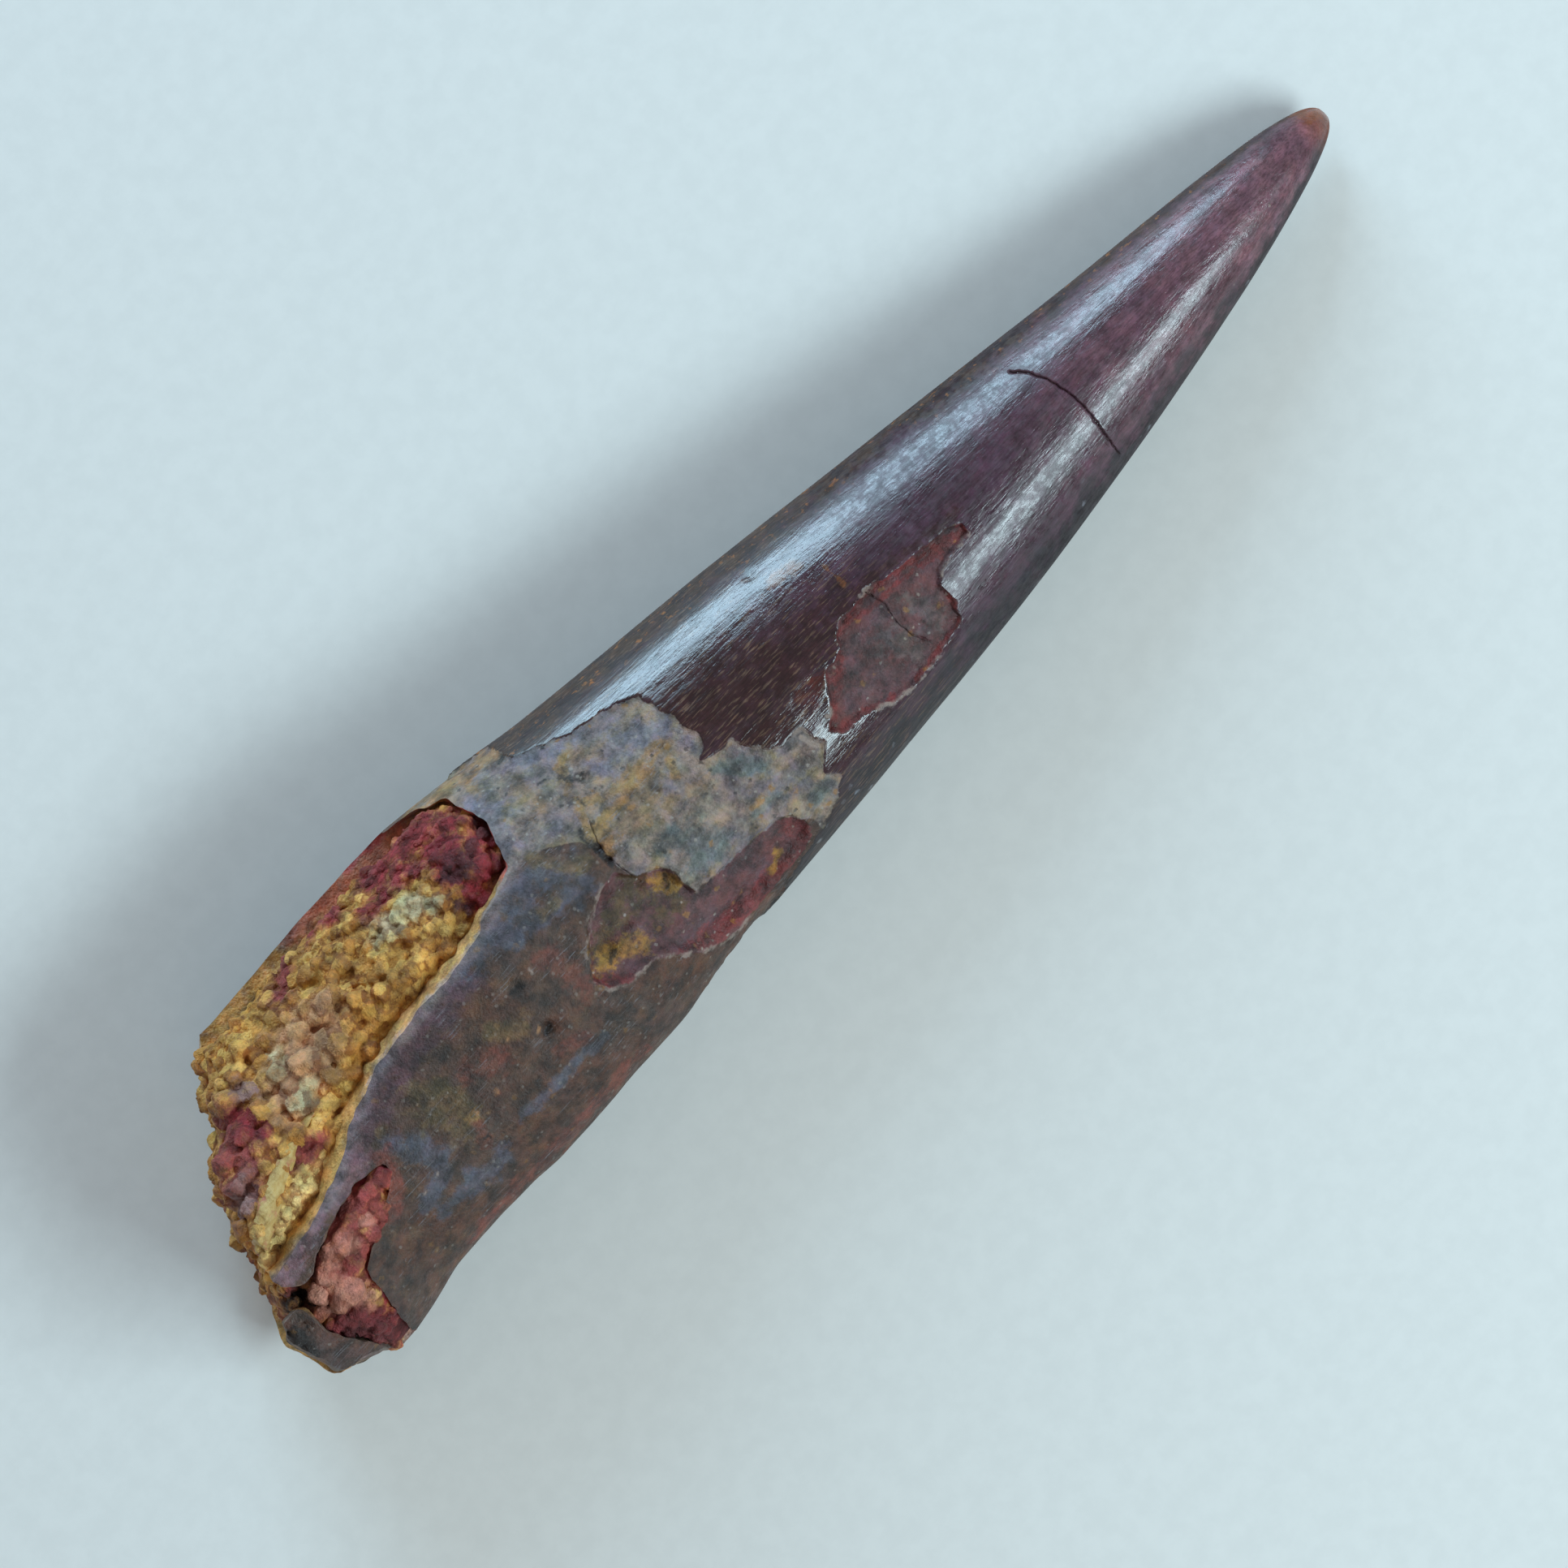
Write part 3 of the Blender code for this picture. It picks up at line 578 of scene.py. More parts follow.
def inside_by(outline, x, y):
    """How far each (x, y) lies inside a closed outline; negative outside it."""
    inside = np.zeros(len(x), bool)
    for (x0, y0), (x1, y1) in zip(outline, outline[1:] + outline[:1]):
        if y0 != y1:
            inside ^= ((y0 > y) != (y1 > y)) & (x < x0 + (y - y0) * (x1 - x0) / (y1 - y0))
    near = to_line(outline + outline[:1], x, y)
    return np.where(inside, near, -near)


def bumps(points, size, seed=0.0):
    """Smooth noise between about -1 and 1, with lumps of the given size."""
    shift = SEED + Vector((seed, 2 * seed, 3 * seed))
    return np.array([noise.noise(Vector(point) / size + shift) for point in points])


def wandering(points, reach, size, seed):
    """The points' X and Y, moved about by up to reach, which makes any outline ragged."""
    x = points[:, 0] + reach * bumps(points, size, seed)
    y = points[:, 1] + reach * bumps(points, size, seed + 5.0)
    return x, y


def bare_by(points):
    """How far each point lies behind the enamel's edge; negative on the enamel."""
    x, y = wandering(points, reach=0.12, size=0.45, seed=1.0)
    up = around(points)[1]
    on_top = inside_by(BARE_ROOT, x, y)
    under = UNDER_EDGE_X + UNDER_EDGE_SLOPE * points[:, 1] + 0.8 * bumps(points, 1.6, 9.0) - x
    share = smoothstep(-0.12, 0.12, up)
    return on_top * share + under * (1 - share)


def flaked_by(points, outline, seed):
    """How far each point lies inside a flake of the upper face; negative outside it."""
    x, y = wandering(points, 0.09, 0.3, seed)
    return np.where(around(points)[1] > 0, inside_by(outline, x, y), -5.0)


def beside(line, x, y):
    """Signed distance from each (x, y) to an open line, and whether it lies beside it, not past its ends."""
    near = np.full(len(x), np.inf)
    side, within = np.zeros(len(x)), np.zeros(len(x), bool)
    for i, ((x0, y0), (x1, y1)) in enumerate(zip(line, line[1:])):
        along = ((x - x0) * (x1 - x0) + (y - y0) * (y1 - y0)) / ((x1 - x0) ** 2 + (y1 - y0) ** 2)
        held = np.clip(along, 0.0, 1.0)
        away = np.hypot(x - x0 - held * (x1 - x0), y - y0 - held * (y1 - y0))
        closer = away < near
        turn = np.sign((x1 - x0) * (y - y0) - (y1 - y0) * (x - x0))
        inner = ~(((i == 0) & (along < 0)) | ((i == len(line) - 2) & (along > 1)))
        near = np.where(closer, away, near)
        side = np.where(closer, away * turn, side)
        within = np.where(closer, inner, within)
    return side, within


def crack_sides(points):
    """Signed distance from each point to the nearest crack, in crack widths, and 1 beside it, 0 elsewhere."""
    x, y = wandering(points, reach=0.04, size=0.22, seed=3.0)
    nearest, on = np.full(len(points), 9.0), np.zeros(len(points))
    for width, _, line in CRACKS:
        side, within = beside(line, x, y)
        closer = np.abs(side) / width < np.abs(nearest)
        nearest = np.where(closer, side / width, nearest)
        on = np.where(closer, within, on)
    return nearest, on * (around(points)[1] > 0)


def crack_depth(points):
    x, y = wandering(points, reach=0.04, size=0.22, seed=3.0)
    depth = np.zeros(len(points))
    for width, deepest, line in CRACKS:
        depth = np.maximum(depth, deepest * np.exp(-((to_line(line, x, y) / (width + 0.012)) ** 2)))
    return depth * (around(points)[1] > 0)


def pit_depth(points):
    x, y = wandering(points, reach=0.06, size=0.2, seed=4.0)
    on_top = around(points)[1] > 0
    depth = np.zeros(len(points))
    for at_x, at_y, radius, deepest in PITS:
        near = np.hypot(x - at_x, y - at_y) / radius
        depth = np.maximum(depth, deepest * np.exp(-(near**2)) * on_top)
    return depth


def worn_away(points):
    """Depth lost from the smooth surface at each point."""
    across, up = around(points)
    bare = smoothstep(-0.05, 0.05, bare_by(points))
    step = 0.5 * bare + 0.5 * smoothstep(0.0, 0.7, bare_by(points))
    lost = ENAMEL_DEPTH * step
    shares = [smoothstep(0.0, slope, flaked_by(points, outline, seed)) for outline, _, slope, seed in FLAKES]
    for share, (_, depth, _, _) in zip(shares, FLAKES):
        lost = lost + depth * share
    crown, root, _ = shares
    # The same long waves as in the solid, then finer ones
    wave = bumps(np.stack([points[:, 0], points[:, 1], 2 * up], axis=1), WAVE_LENGTH)
    lost += WAVE * wave * (0.15 + 0.85 * bare)
    lost += 0.03 * bumps(points, 0.9, 6.0) * (0.1 + 0.9 * bare)
    weathered = bare * smoothstep(-10.0, -7.5, points[:, 0])
    pitted = 0.035 * bumps(points, 0.35, 7.0) + 0.02 * bumps(points, 0.16, 8.0)
    lost += pitted * np.maximum(weathered, crown)
    lost += 0.03 * bumps(points, 0.5, 11.0) * root
    lost += crack_depth(points) + pit_depth(points)
    return lost * smoothstep(-0.95, -0.6, up)


def points_of(made):
    return np.array([vert.co[:] for vert in made.verts])


def move_points(made, points):
    for vert, point in zip(made.verts, points):
        vert.co = point


def wrap(sides, rings, surface):
    """A sheet rolled up onto surface(shares, angles) and closed, its ends drawn together at share 0 and 1."""
    made = bmesh.new()
    bmesh.ops.create_grid(made, x_segments=sides, y_segments=rings, size=1.0)
    at = points_of(made)
    angle = math.pi * at[:, 0]
    share = (at[:, 1] + 1) / 2
    points = surface(share, angle)
    pole = (share < 1e-4) | (share > 1 - 1e-4)
    points[pole] = (surface(share, angle * 0)[pole] + surface(share, angle * 0 + math.pi)[pole]) / 2
    move_points(made, points)
    bmesh.ops.remove_doubles(made, verts=made.verts, dist=1e-3)
    point_outwards(made)
    return made


def point_outwards(made):
    bmesh.ops.recalc_face_normals(made, faces=made.faces)
    if made.calc_volume(signed=True) < 0:
        bmesh.ops.reverse_faces(made, faces=made.faces)


def as_object(name, made):
    mesh = bpy.data.meshes.new(name)
    made.to_mesh(mesh)
    made.free()
    shape = bpy.data.objects.new(name, mesh)
    bpy.context.scene.collection.objects.link(shape)
    return shape


def apply_modifiers(shape):
    solved = shape.evaluated_get(bpy.context.evaluated_depsgraph_get())
    old = shape.data
    shape.data = bpy.data.meshes.new_from_object(solved)
    shape.modifiers.clear()
    bpy.data.meshes.remove(old)


def block(name, levels):
    """A closed block through outlines of equally many points, given as (z, outline) from the bottom up."""
    made = bmesh.new()
    rings = [[made.verts.new((x, y, z)) for x, y in outline] for z, outline in levels]
    made.faces.new(rings[0])
    made.faces.new(rings[-1])
    for low, high in zip(rings, rings[1:]):
        for i in range(len(low)):
            made.faces.new((low[i - 1], low[i], high[i], high[i - 1]))
    point_outwards(made)
    return as_object(name, made)


def roughen(shape, voxel, height, size, seed):
    """Gives a block the uneven faces of a break."""
    grid = shape.modifiers.new("grid", "REMESH")
    grid.mode = "VOXEL"
    grid.voxel_size = voxel
    apply_modifiers(shape)
    made = bmesh.new()
    made.from_mesh(shape.data)
    points = points_of(made)
    out = np.array([vert.normal[:] for vert in made.verts])
    swell = height * (bumps(points, size, seed) + 0.5 * bumps(points, size / 2.5, seed + 3.0))
    move_points(made, points + out * swell[:, None])
    made.to_mesh(shape.data)
    made.free()


def cut(shape, cutters, material):
    """Takes the cutters away from the shape; the cut faces get the material."""
    for cutter in cutters:
        cutter.data.materials.clear()
        cutter.data.materials.append(material)
        knife = shape.modifiers.new(cutter.name, "BOOLEAN")
        knife.operation = "DIFFERENCE"
        knife.solver = "MANIFOLD"
        knife.material_mode = "TRANSFER"
        knife.object = cutter
    apply_modifiers(shape)
    for cutter in cutters:
        bpy.data.objects.remove(cutter)


def end_cutter(name, end, seed):
    levels = []
    for z, lean in END_LEAN:
        edge = []
        for x, y in end:
            rough = 0.5 + 0.5 * noise.noise(Vector((1.3 * y, 0.9 * z, seed)))
            edge.append((x + lean + END_JITTER * rough * min(lean / 0.3, 1.0), y))
        levels.append((z, edge + [(BEYOND - 3, end[-1][1]), (BEYOND - 3, end[0][1])]))
    return block(name, levels)


def leaned(rim, slope, depth):
    """A rim moved along its slope, which is nearly upright at the crown's end."""
    moved = []
    for x, y in rim:
        share = depth * min(max((-9.0 - x) / 4.5, 0.12), 1.0)
        moved.append((x + share * slope[0], y + share * slope[1]))
    return moved


def upper_opening():
    behind = BEYOND - 3
    return UPPER_RIM + [(behind, UPPER_RIM[-1][1]), (behind, FAR_RIM[0][1])] + FAR_RIM


def lower_opening():
    return TONGUE_SIDE + STUMP_SIDE + LOWER_RIM


def upper_cutter():
    behind = [(BEYOND - 3, UPPER_RIM[-1][1]), (BEYOND - 3, FAR_RIM[0][1])]
    rise = (ABOVE - RIM_Z) / WALL
    deep_rim = leaned(UPPER_RIM, RIM_SLOPE, 1.0) + behind
    high_rim = leaned(UPPER_RIM, RIM_SLOPE, -rise) + behind
    low = deep_rim + leaned(FAR_RIM, FAR_RIM_SLOPE, 1.0)
    levels = [(FAR_RIM_Z, low), (RIM_Z - WALL, deep_rim + FAR_RIM), (ABOVE, high_rim + FAR_RIM)]
    return block("upper_cutter", levels)


def lower_cutter():
    outline = lower_opening()
    return block("lower_cutter", [(LOWER_CUT_Z, outline), (ABOVE, outline)])


def hollow_radius_share(x):
    return np.sqrt(1 - smoothstep(HOLLOW_FULL_X, HOLLOW_END_X, x))


def drawn_in(x, points, share):
    """Points of the sections at x, drawn in to a share of their distance from the middle."""
    centre = np.stack([x, *section(x)[:2]], axis=1)
    return centre + (points - centre) * share[:, None]


def hollow_surface(share, angle):
    """The inside of the wall, which closes to a point inside the crown."""
    x = HOLLOW_END_X + (BEYOND - 1.0 - HOLLOW_END_X) * share
    return drawn_in(x, section_points(x, angle, WALL), hollow_radius_share(x))


def tooth_surface(share, angle):
    x = TIP_X + (BEYOND - TIP_X) * share**1.15
    # More of the points go to the upper face
    return section_points(x, angle + 0.3 * np.cos(angle), 0.0)


def refine(made, near, reach, cuts):
    """Divides the edges whose two ends both lie within reach, near being each point's distance."""
    made.verts.index_update()
    close = near < reach
    edges = [edge for edge in made.edges if close[edge.verts[0].index] and close[edge.verts[1].index]]
    bmesh.ops.subdivide_edges(made, edges=edges, cuts=cuts, use_grid_fill=True)


def edge_distance(points):
    """Distance to the nearest edge of the enamel or of a flake, on the upper face."""
    near = np.abs(bare_by(points))
    for outline, _, _, seed in FLAKES:
        near = np.minimum(near, np.abs(flaked_by(points, outline, seed)))
    return np.where(around(points)[1] > 0.05, near, 5.0)


def crack_distance(points):
    x, y = points[:, 0], points[:, 1]
    near = np.full(len(points), np.inf)
    for _, _, line in CRACKS:
        near = np.minimum(near, to_line(line, x, y))
    return np.where(around(points)[1] > 0, near, 5.0)


def flatten_belly(made):
    whole = made.verts[:] + made.edges[:] + made.faces[:]
    found = bmesh.ops.bisect_plane(made, geom=whole, plane_no=(0, 0, 1), dist=1e-5, clear_inner=True)
    rim = [part for part in found["geom_cut"] if isinstance(part, bmesh.types.BMEdge)]
    bmesh.ops.contextual_create(made, geom=rim)


def store(mesh, name, values):
    mesh.attributes.new(name, "FLOAT", "POINT").data.foreach_set("value", np.asarray(values, np.float32))


def mesh_points(mesh):
    flat = np.empty(len(mesh.vertices) * 3, np.float32)
    mesh.vertices.foreach_get("co", flat)
    return flat.reshape(-1, 3).astype(float)


def placed(shape, slot, *replaced):
    """Turns a finished piece from millimetres into metres and lets it ride on the tooth's one body."""
    shape.data.transform(Matrix.Scale(MM, 4))
    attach(shape, "root")
    if replaced:
        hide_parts(*replaced)


def linear(colour):
    """A colour as a screen shows it, from 0 to 255, turned into the shader's scale."""
    parts = [part / 255 for part in colour]
    bright = [part / 12.92 if part <= 0.04045 else ((part + 0.055) / 1.055) ** 2.4 for part in parts]
    return (*bright, 1.0)


def under_gloss(colour):
    """The colour that a glossy surface needs beneath its reflections to look like the one given."""
    return tuple(max(0.86 * part - 0.017, 0.3 * part) for part in linear(colour)[:3]) + (1.0,)


def stroke_weight(strokes, x, y):
    """From 0 to 1, how much of the strokes' paint lies at each (x, y)."""
    weight = np.zeros(len(x))
    for width, line in strokes:
        near = to_line(line + line, x, y) if len(line) > 1 else np.hypot(x - line[0][0], y - line[0][1])
        weight = np.maximum(weight, np.exp(-((near / width) ** 2)))
    return weight


def store_stains(mesh, stains, x, y, share=1.0):
    for name, _, strokes in stains:
        store(mesh, name, stroke_weight(strokes, x, y) * share)


def add(tree, kind, inputs, **settings):
    """Adds a node; inputs maps a socket's name or place to a value or to another node's output."""
    node = tree.nodes.new(kind)
    for name, setting in settings.items():
        setattr(node, name, setting)
    for name, given in inputs.items():
        if isinstance(given, bpy.types.NodeSocket):
            tree.links.new(given, node.inputs[name])
        else:
            node.inputs[name].default_value = given
    return node


def reckon(tree, operation, *terms):
    return add(tree, "ShaderNodeMath", dict(enumerate(terms)), operation=operation).outputs[0]


def times(tree, first, second):
    return reckon(tree, "MULTIPLY", first, second)


def plus(tree, first, second):
    return reckon(tree, "ADD", first, second)


def ramp(tree, given, low, high, start=0.0, end=1.0):
    """Runs smoothly from start to end as the given value goes from low to high."""
    inputs = {"Value": given, "From Min": low, "From Max": high, "To Min": start, "To Max": end}
    return add(tree, "ShaderNodeMapRange", inputs, interpolation_type="SMOOTHSTEP").outputs["Result"]


def blend(tree, amount, first, second, how="MIX"):
    inputs = {0: amount, 6: first, 7: second}
    return add(tree, "ShaderNodeMix", inputs, data_type="RGBA", blend_type=how).outputs[2]


def stored(tree, name):
    return add(tree, "ShaderNodeAttribute", {}, attribute_name=name).outputs["Fac"]


def new_group(name, inputs, output, kind="NodeSocketFloat"):
    """An empty shader node group with these named inputs and one output; gives the tree and its two ends."""
    tree = bpy.data.node_groups.new(name, "ShaderNodeTree")
    for label, socket in inputs.items():
        tree.interface.new_socket(label, in_out="INPUT", socket_type=socket)
    tree.interface.new_socket(output, in_out="OUTPUT", socket_type=kind)
    return tree, tree.nodes.new("NodeGroupInput").outputs, tree.nodes.new("NodeGroupOutput").inputs


def place_group(tree, group, inputs):
    return add(tree, "ShaderNodeGroup", inputs, node_tree=group).outputs[0]


def patches_group():
    """Cloudy patches of a given size; Low and High set how much of the surface they take."""
    inputs = {"Point": VECTOR, "Size": FLOAT, "Low": FLOAT, "High": FLOAT}
    tree, given, made = new_group("cloudy_patches", inputs, "Mask")
    scale = reckon(tree, "DIVIDE", 1.0, given["Size"])
    settings = {"Vector": given["Point"], "Scale": scale, "Detail": 4.0, "Roughness": 0.6}
    clouds = add(tree, "ShaderNodeTexNoise", settings)
    tree.links.new(ramp(tree, clouds.outputs[0], given["Low"], given["High"]), made["Mask"])
    return tree


def streaks_group():
    """Fine streaks that run along the tooth."""
    inputs = {"Point": VECTOR, "Length": FLOAT, "Width": FLOAT, "Low": FLOAT, "High": FLOAT}
    tree, given, made = new_group("lengthwise_streaks", inputs, "Mask")
    along = reckon(tree, "DIVIDE", 1.0, given["Length"])
    across = reckon(tree, "DIVIDE", 1.0, given["Width"])
    squeeze = add(tree, "ShaderNodeCombineXYZ", {0: along, 1: across, 2: across}).outputs[0]
    squeezed = {0: given["Point"], 1: squeeze}
    point = add(tree, "ShaderNodeVectorMath", squeezed, operation="MULTIPLY").outputs[0]
    clouds = add(tree, "ShaderNodeTexNoise", {"Vector": point, "Scale": 1.0, "Detail": 3.0, "Roughness": 0.6})
    tree.links.new(ramp(tree, clouds.outputs[0], given["Low"], given["High"]), made["Mask"])
    return tree


def specks_group():
    """Small round specks; Share is the part of the places that carry one."""
    inputs = {"Point": VECTOR, "Spacing": FLOAT, "Share": FLOAT}
    tree, given, made = new_group("specks", inputs, "Mask")
    scale = reckon(tree, "DIVIDE", 1.0, given["Spacing"])
    cells = add(tree, "ShaderNodeTexVoronoi", {"Vector": given["Point"], "Scale": scale})
    pick = add(tree, "ShaderNodeSeparateColor", {0: cells.outputs["Color"]}).outputs[0]
    chosen = reckon(tree, "LESS_THAN", pick, given["Share"])
    settings = {"Vector": given["Point"], "Scale": 9.0, "Detail": 2.0}
    rough = add(tree, "ShaderNodeTexNoise", settings).outputs[0]
    far = plus(tree, cells.outputs["Distance"], times(tree, rough, 0.6))
    dot = ramp(tree, far, 0.42, 0.62, 1.0, 0.0)
    tree.links.new(times(tree, chosen, dot), made["Mask"])
    return tree


def stain_group():
    """Lays a stain over a colour: cloudy, ragged at its edge, and never stronger than Strength."""
    inputs = {"Colour": COLOUR, "Stain": COLOUR, "Amount": FLOAT, "Point": VECTOR}
    inputs.update({"Size": FLOAT, "Swing": FLOAT, "Strength": FLOAT})
    tree, given, made = new_group("stain", inputs, "Colour", COLOUR)
    scale = reckon(tree, "DIVIDE", 1.0, given["Size"])
    settings = {"Vector": given["Point"], "Scale": scale, "Detail": 7.0}
    settings.update({"Roughness": 0.68, "Distortion": 0.15})
    clouds = add(tree, "ShaderNodeTexNoise", settings).outputs[0]
    swing = times(tree, reckon(tree, "SUBTRACT", clouds, 0.5), given["Swing"])
    reached = plus(tree, times(tree, given["Amount"], 0.85), swing)
    amount = times(tree, ramp(tree, reached, 0.3, 0.85), given["Strength"])
    present = ramp(tree, given["Amount"], 0.02, 0.2)
    amount = times(tree, amount, present)
    tree.links.new(blend(tree, amount, given["Colour"], given["Stain"]), made["Colour"])
    return tree


def mottle_group():
    """Makes a colour lighter and darker from place to place, in large and in fine patches."""
    inputs = {"Colour": COLOUR, "Point": VECTOR, "Depth": FLOAT}
    tree, given, made = new_group("mottle", inputs, "Colour", COLOUR)
    settings = {"Vector": given["Point"], "Scale": 1.5, "Detail": 7.0, "Roughness": 0.72, "Distortion": 0.1}
    clouds = add(tree, "ShaderNodeTexNoise", settings)
    light = ramp(tree, clouds.outputs[0], 0.3, 0.72, 0.3, 2.05)
    hue = add(tree, "ShaderNodeSeparateColor", {0: clouds.outputs[1]})
    warm = ramp(tree, hue.outputs[1], 0.35, 0.65, 0.88, 1.14)
    cool = ramp(tree, hue.outputs[2], 0.35, 0.65, 0.88, 1.1)
    red = times(tree, light, warm)
    blue = times(tree, light, cool)
    grey = add(tree, "ShaderNodeCombineColor", {0: red, 1: light, 2: blue}).outputs[0]
    tree.links.new(blend(tree, given["Depth"], given["Colour"], grey, "MULTIPLY"), made["Colour"])
    return tree


# Each group is built once and placed in the materials with their own values
PATCHES = patches_group()
STREAKS = streaks_group()
SPECKS = specks_group()
STAIN = stain_group()
MOTTLE = mottle_group()


def new_material(name):
    """A material with its tree, its shader and the surface's point in millimetres."""
    material = bpy.data.materials.new(name)
    material.use_nodes = True
    tree = material.node_tree
    place = add(tree, "ShaderNodeTexCoord", {}).outputs["Object"]
    point = add(tree, "ShaderNodeMapping", {"Vector": place, "Scale": (1000.0, 1000.0, 1000.0)}).outputs[0]
    return material, tree, tree.nodes["Principled BSDF"], point


def x_of(tree, point):
    return add(tree, "ShaderNodeSeparateXYZ", {0: point}).outputs[0]


def patches(tree, point, size, low, high):
    return place_group(tree, PATCHES, {"Point": point, "Size": size, "Low": low, "High": high})


def streaks(tree, point, length, width, low, high):
    inputs = {"Point": point, "Length": length, "Width": width, "Low": low, "High": high}
    return place_group(tree, STREAKS, inputs)


def specks(tree, point, spacing, share):
    return place_group(tree, SPECKS, {"Point": point, "Spacing": spacing, "Share": share})


def stained(tree, colour, stains, point, size=0.4, strength=0.7, swing=3.4, shown_as=under_gloss):
    """Lays each stain over the colour where its stored weight is high."""
    for name, stain, _ in stains:
        inputs = {"Colour": colour, "Stain": shown_as(stain), "Amount": stored(tree, name), "Point": point}
        colour = place_group(tree, STAIN, {**inputs, "Size": size, "Strength": strength, "Swing": swing})
    return colour


def mottled(tree, colour, point, depth):
    return place_group(tree, MOTTLE, {"Colour": colour, "Point": point, "Depth": depth})


def raised(tree, shader, height, reach):
    """Fine relief: height from 0 to 1 stands for reach millimetres."""
    bump = add(tree, "ShaderNodeBump", {"Height": height, "Distance": reach * MM})
    tree.links.new(bump.outputs[0], shader.inputs["Normal"])


def speckled(tree, colour, point, strength):
    """Scatters pale, dark and ochre specks over a colour."""
    kinds = (
        (0.21, 0.16, under_gloss(PALE_SPECK)),
        (0.3, 0.16, under_gloss(DARK_SPECK)),
        (0.42, 0.12, under_gloss(OCHRE_SPECK)),
    )
    for spacing, share, speck in kinds:
        seen = times(tree, specks(tree, point, spacing, share), strength)
        colour = blend(tree, times(tree, seen, 0.65), colour, speck)
    return colour


def root_colour(tree, point):
    """Bare dentine: grey-brown, weathered pale next to the enamel."""
    clouds = patches(tree, point, 2.2, 0.35, 0.65)
    bare = blend(tree, clouds, under_gloss(DENTINE_BROWN), under_gloss(DENTINE_GREY))
    bare = blend(tree, patches(tree, point, 0.8, 0.5, 0.7), bare, under_gloss(DENTINE_TAN))
    clouds = patches(tree, point, 1.2, 0.38, 0.62)
    pale = blend(tree, clouds, under_gloss(WEATHERED_CREAM), under_gloss(WEATHERED_LILAC))
    pale = blend(tree, patches(tree, point, 0.7, 0.5, 0.66), pale, under_gloss(WEATHERED_TAN))
    colour = blend(tree, ramp(tree, stored(tree, "weathered"), 0.35, 0.65), bare, pale)
    lip = ramp(tree, stored(tree, "rim_mm"), 0.12, 0.55, 0.75, 0.0)
    colour = stained(tree, colour, ROOT_STAINS, point, 0.6, 0.75, 2.5)
    colour = blend(tree, lip, colour, under_gloss(WALL_LIP))
    colour = mottled(tree, colour, point, 1.0)
    colour = stained(tree, colour, ROOT_MARKS, point, 0.15, 0.9, 1.0)
    colour = speckled(tree, colour, point, ramp(tree, stored(tree, "weathered"), 0.0, 1.0, 0.45, 1.0))
    scratches = streaks(tree, point, 1.3, 0.06, 0.56, 0.7)
    scratches = times(tree, scratches, patches(tree, point, 1.5, 0.48, 0.6))
    return blend(tree, times(tree, scratches, 0.6), colour, under_gloss(ROOT_SCRATCH))


def flake_colour(tree, point):
    """The floor of a flake: dull red-brown, brick red along its edge."""
    clouds = patches(tree, point, 0.8, 0.35, 0.65)
    colour = blend(tree, clouds, under_gloss(FLAKE_RED), under_gloss(FLAKE_GREY))
    colour = stained(tree, colour, FLAKE_STAINS, point, 0.4, 0.85, 2.6)
    return mottled(tree, speckled(tree, colour, point, 0.7), point, 1.0)


def flank_colour(tree, point):
    """Steep enamel sides: olive flecked with orange on the far side, slate with painted highlight specks on
    the near one.
    """
    clouds = patches(tree, point, 0.6, 0.4, 0.6)
    olive = blend(tree, clouds, under_gloss(FLANK_OLIVE), under_gloss(FLANK_DARK))
    olive = blend(tree, patches(tree, point, 0.3, 0.58, 0.68), olive, under_gloss(FLANK_ORANGE))
    # Pale specks on the slate side are painted highlights, standing in for the glints of a mottled coat
    dots = specks(tree, point, 0.45, 0.14)
    slate = blend(tree, dots, under_gloss(FLANK_SLATE), under_gloss(FLANK_HIGHLIGHT_SPECK))
    return blend(tree, stored(tree, "near_side"), olive, slate)


def enamel_colour(tree, point):
    """Dark maroon enamel, redder towards the tip, with fine lengthwise streaks and olive flanks; the maroon
    and rose carry a painted grey-purple sheen.
    """
    along = x_of(tree, point)
    colour = blend(tree, ramp(tree, along, -2.0, 7.0), under_gloss(ENAMEL_BROWN), under_gloss(ENAMEL_MAROON_AND_SHEEN))
    colour = blend(tree, ramp(tree, along, 8.0, 21.0), colour, under_gloss(ENAMEL_ROSE_AND_SHEEN))
    wide = streaks(tree, point, 7.0, 0.5, 0.35, 0.65)
    colour = blend(tree, times(tree, wide, 0.5), colour, under_gloss(ENAMEL_STREAK))
    ragged = ramp(tree, patches(tree, point, 0.9, 0.3, 0.7), 0.0, 1.0, -0.08, 0.08)
    flank = ramp(tree, plus(tree, stored(tree, "flank"), ragged), 0.7, 0.96)
    colour = blend(tree, times(tree, flank, 0.85), colour, flank_colour(tree, point))
    colour = stained(tree, colour, ENAMEL_STAINS, point)
    fleck = streaks(tree, point, 0.8, 0.07, 0.54, 0.66)
    worn = times(tree, fleck, ramp(tree, along, 7.0, 2.0, 0.05, 0.6))
    colour = blend(tree, worn, colour, under_gloss(ENAMEL_FLECK))
    hair = streaks(tree, point, 6.0, 0.06, 0.48, 0.6)
    colour = blend(tree, times(tree, hair, 0.35), colour, under_gloss(ENAMEL_HAIR))
    colour = blend(tree, ramp(tree, along, 23.6, 25.1, 0.0, 0.85), colour, under_gloss(TIP_ORANGE))
    return mottled(tree, colour, point, 0.5)


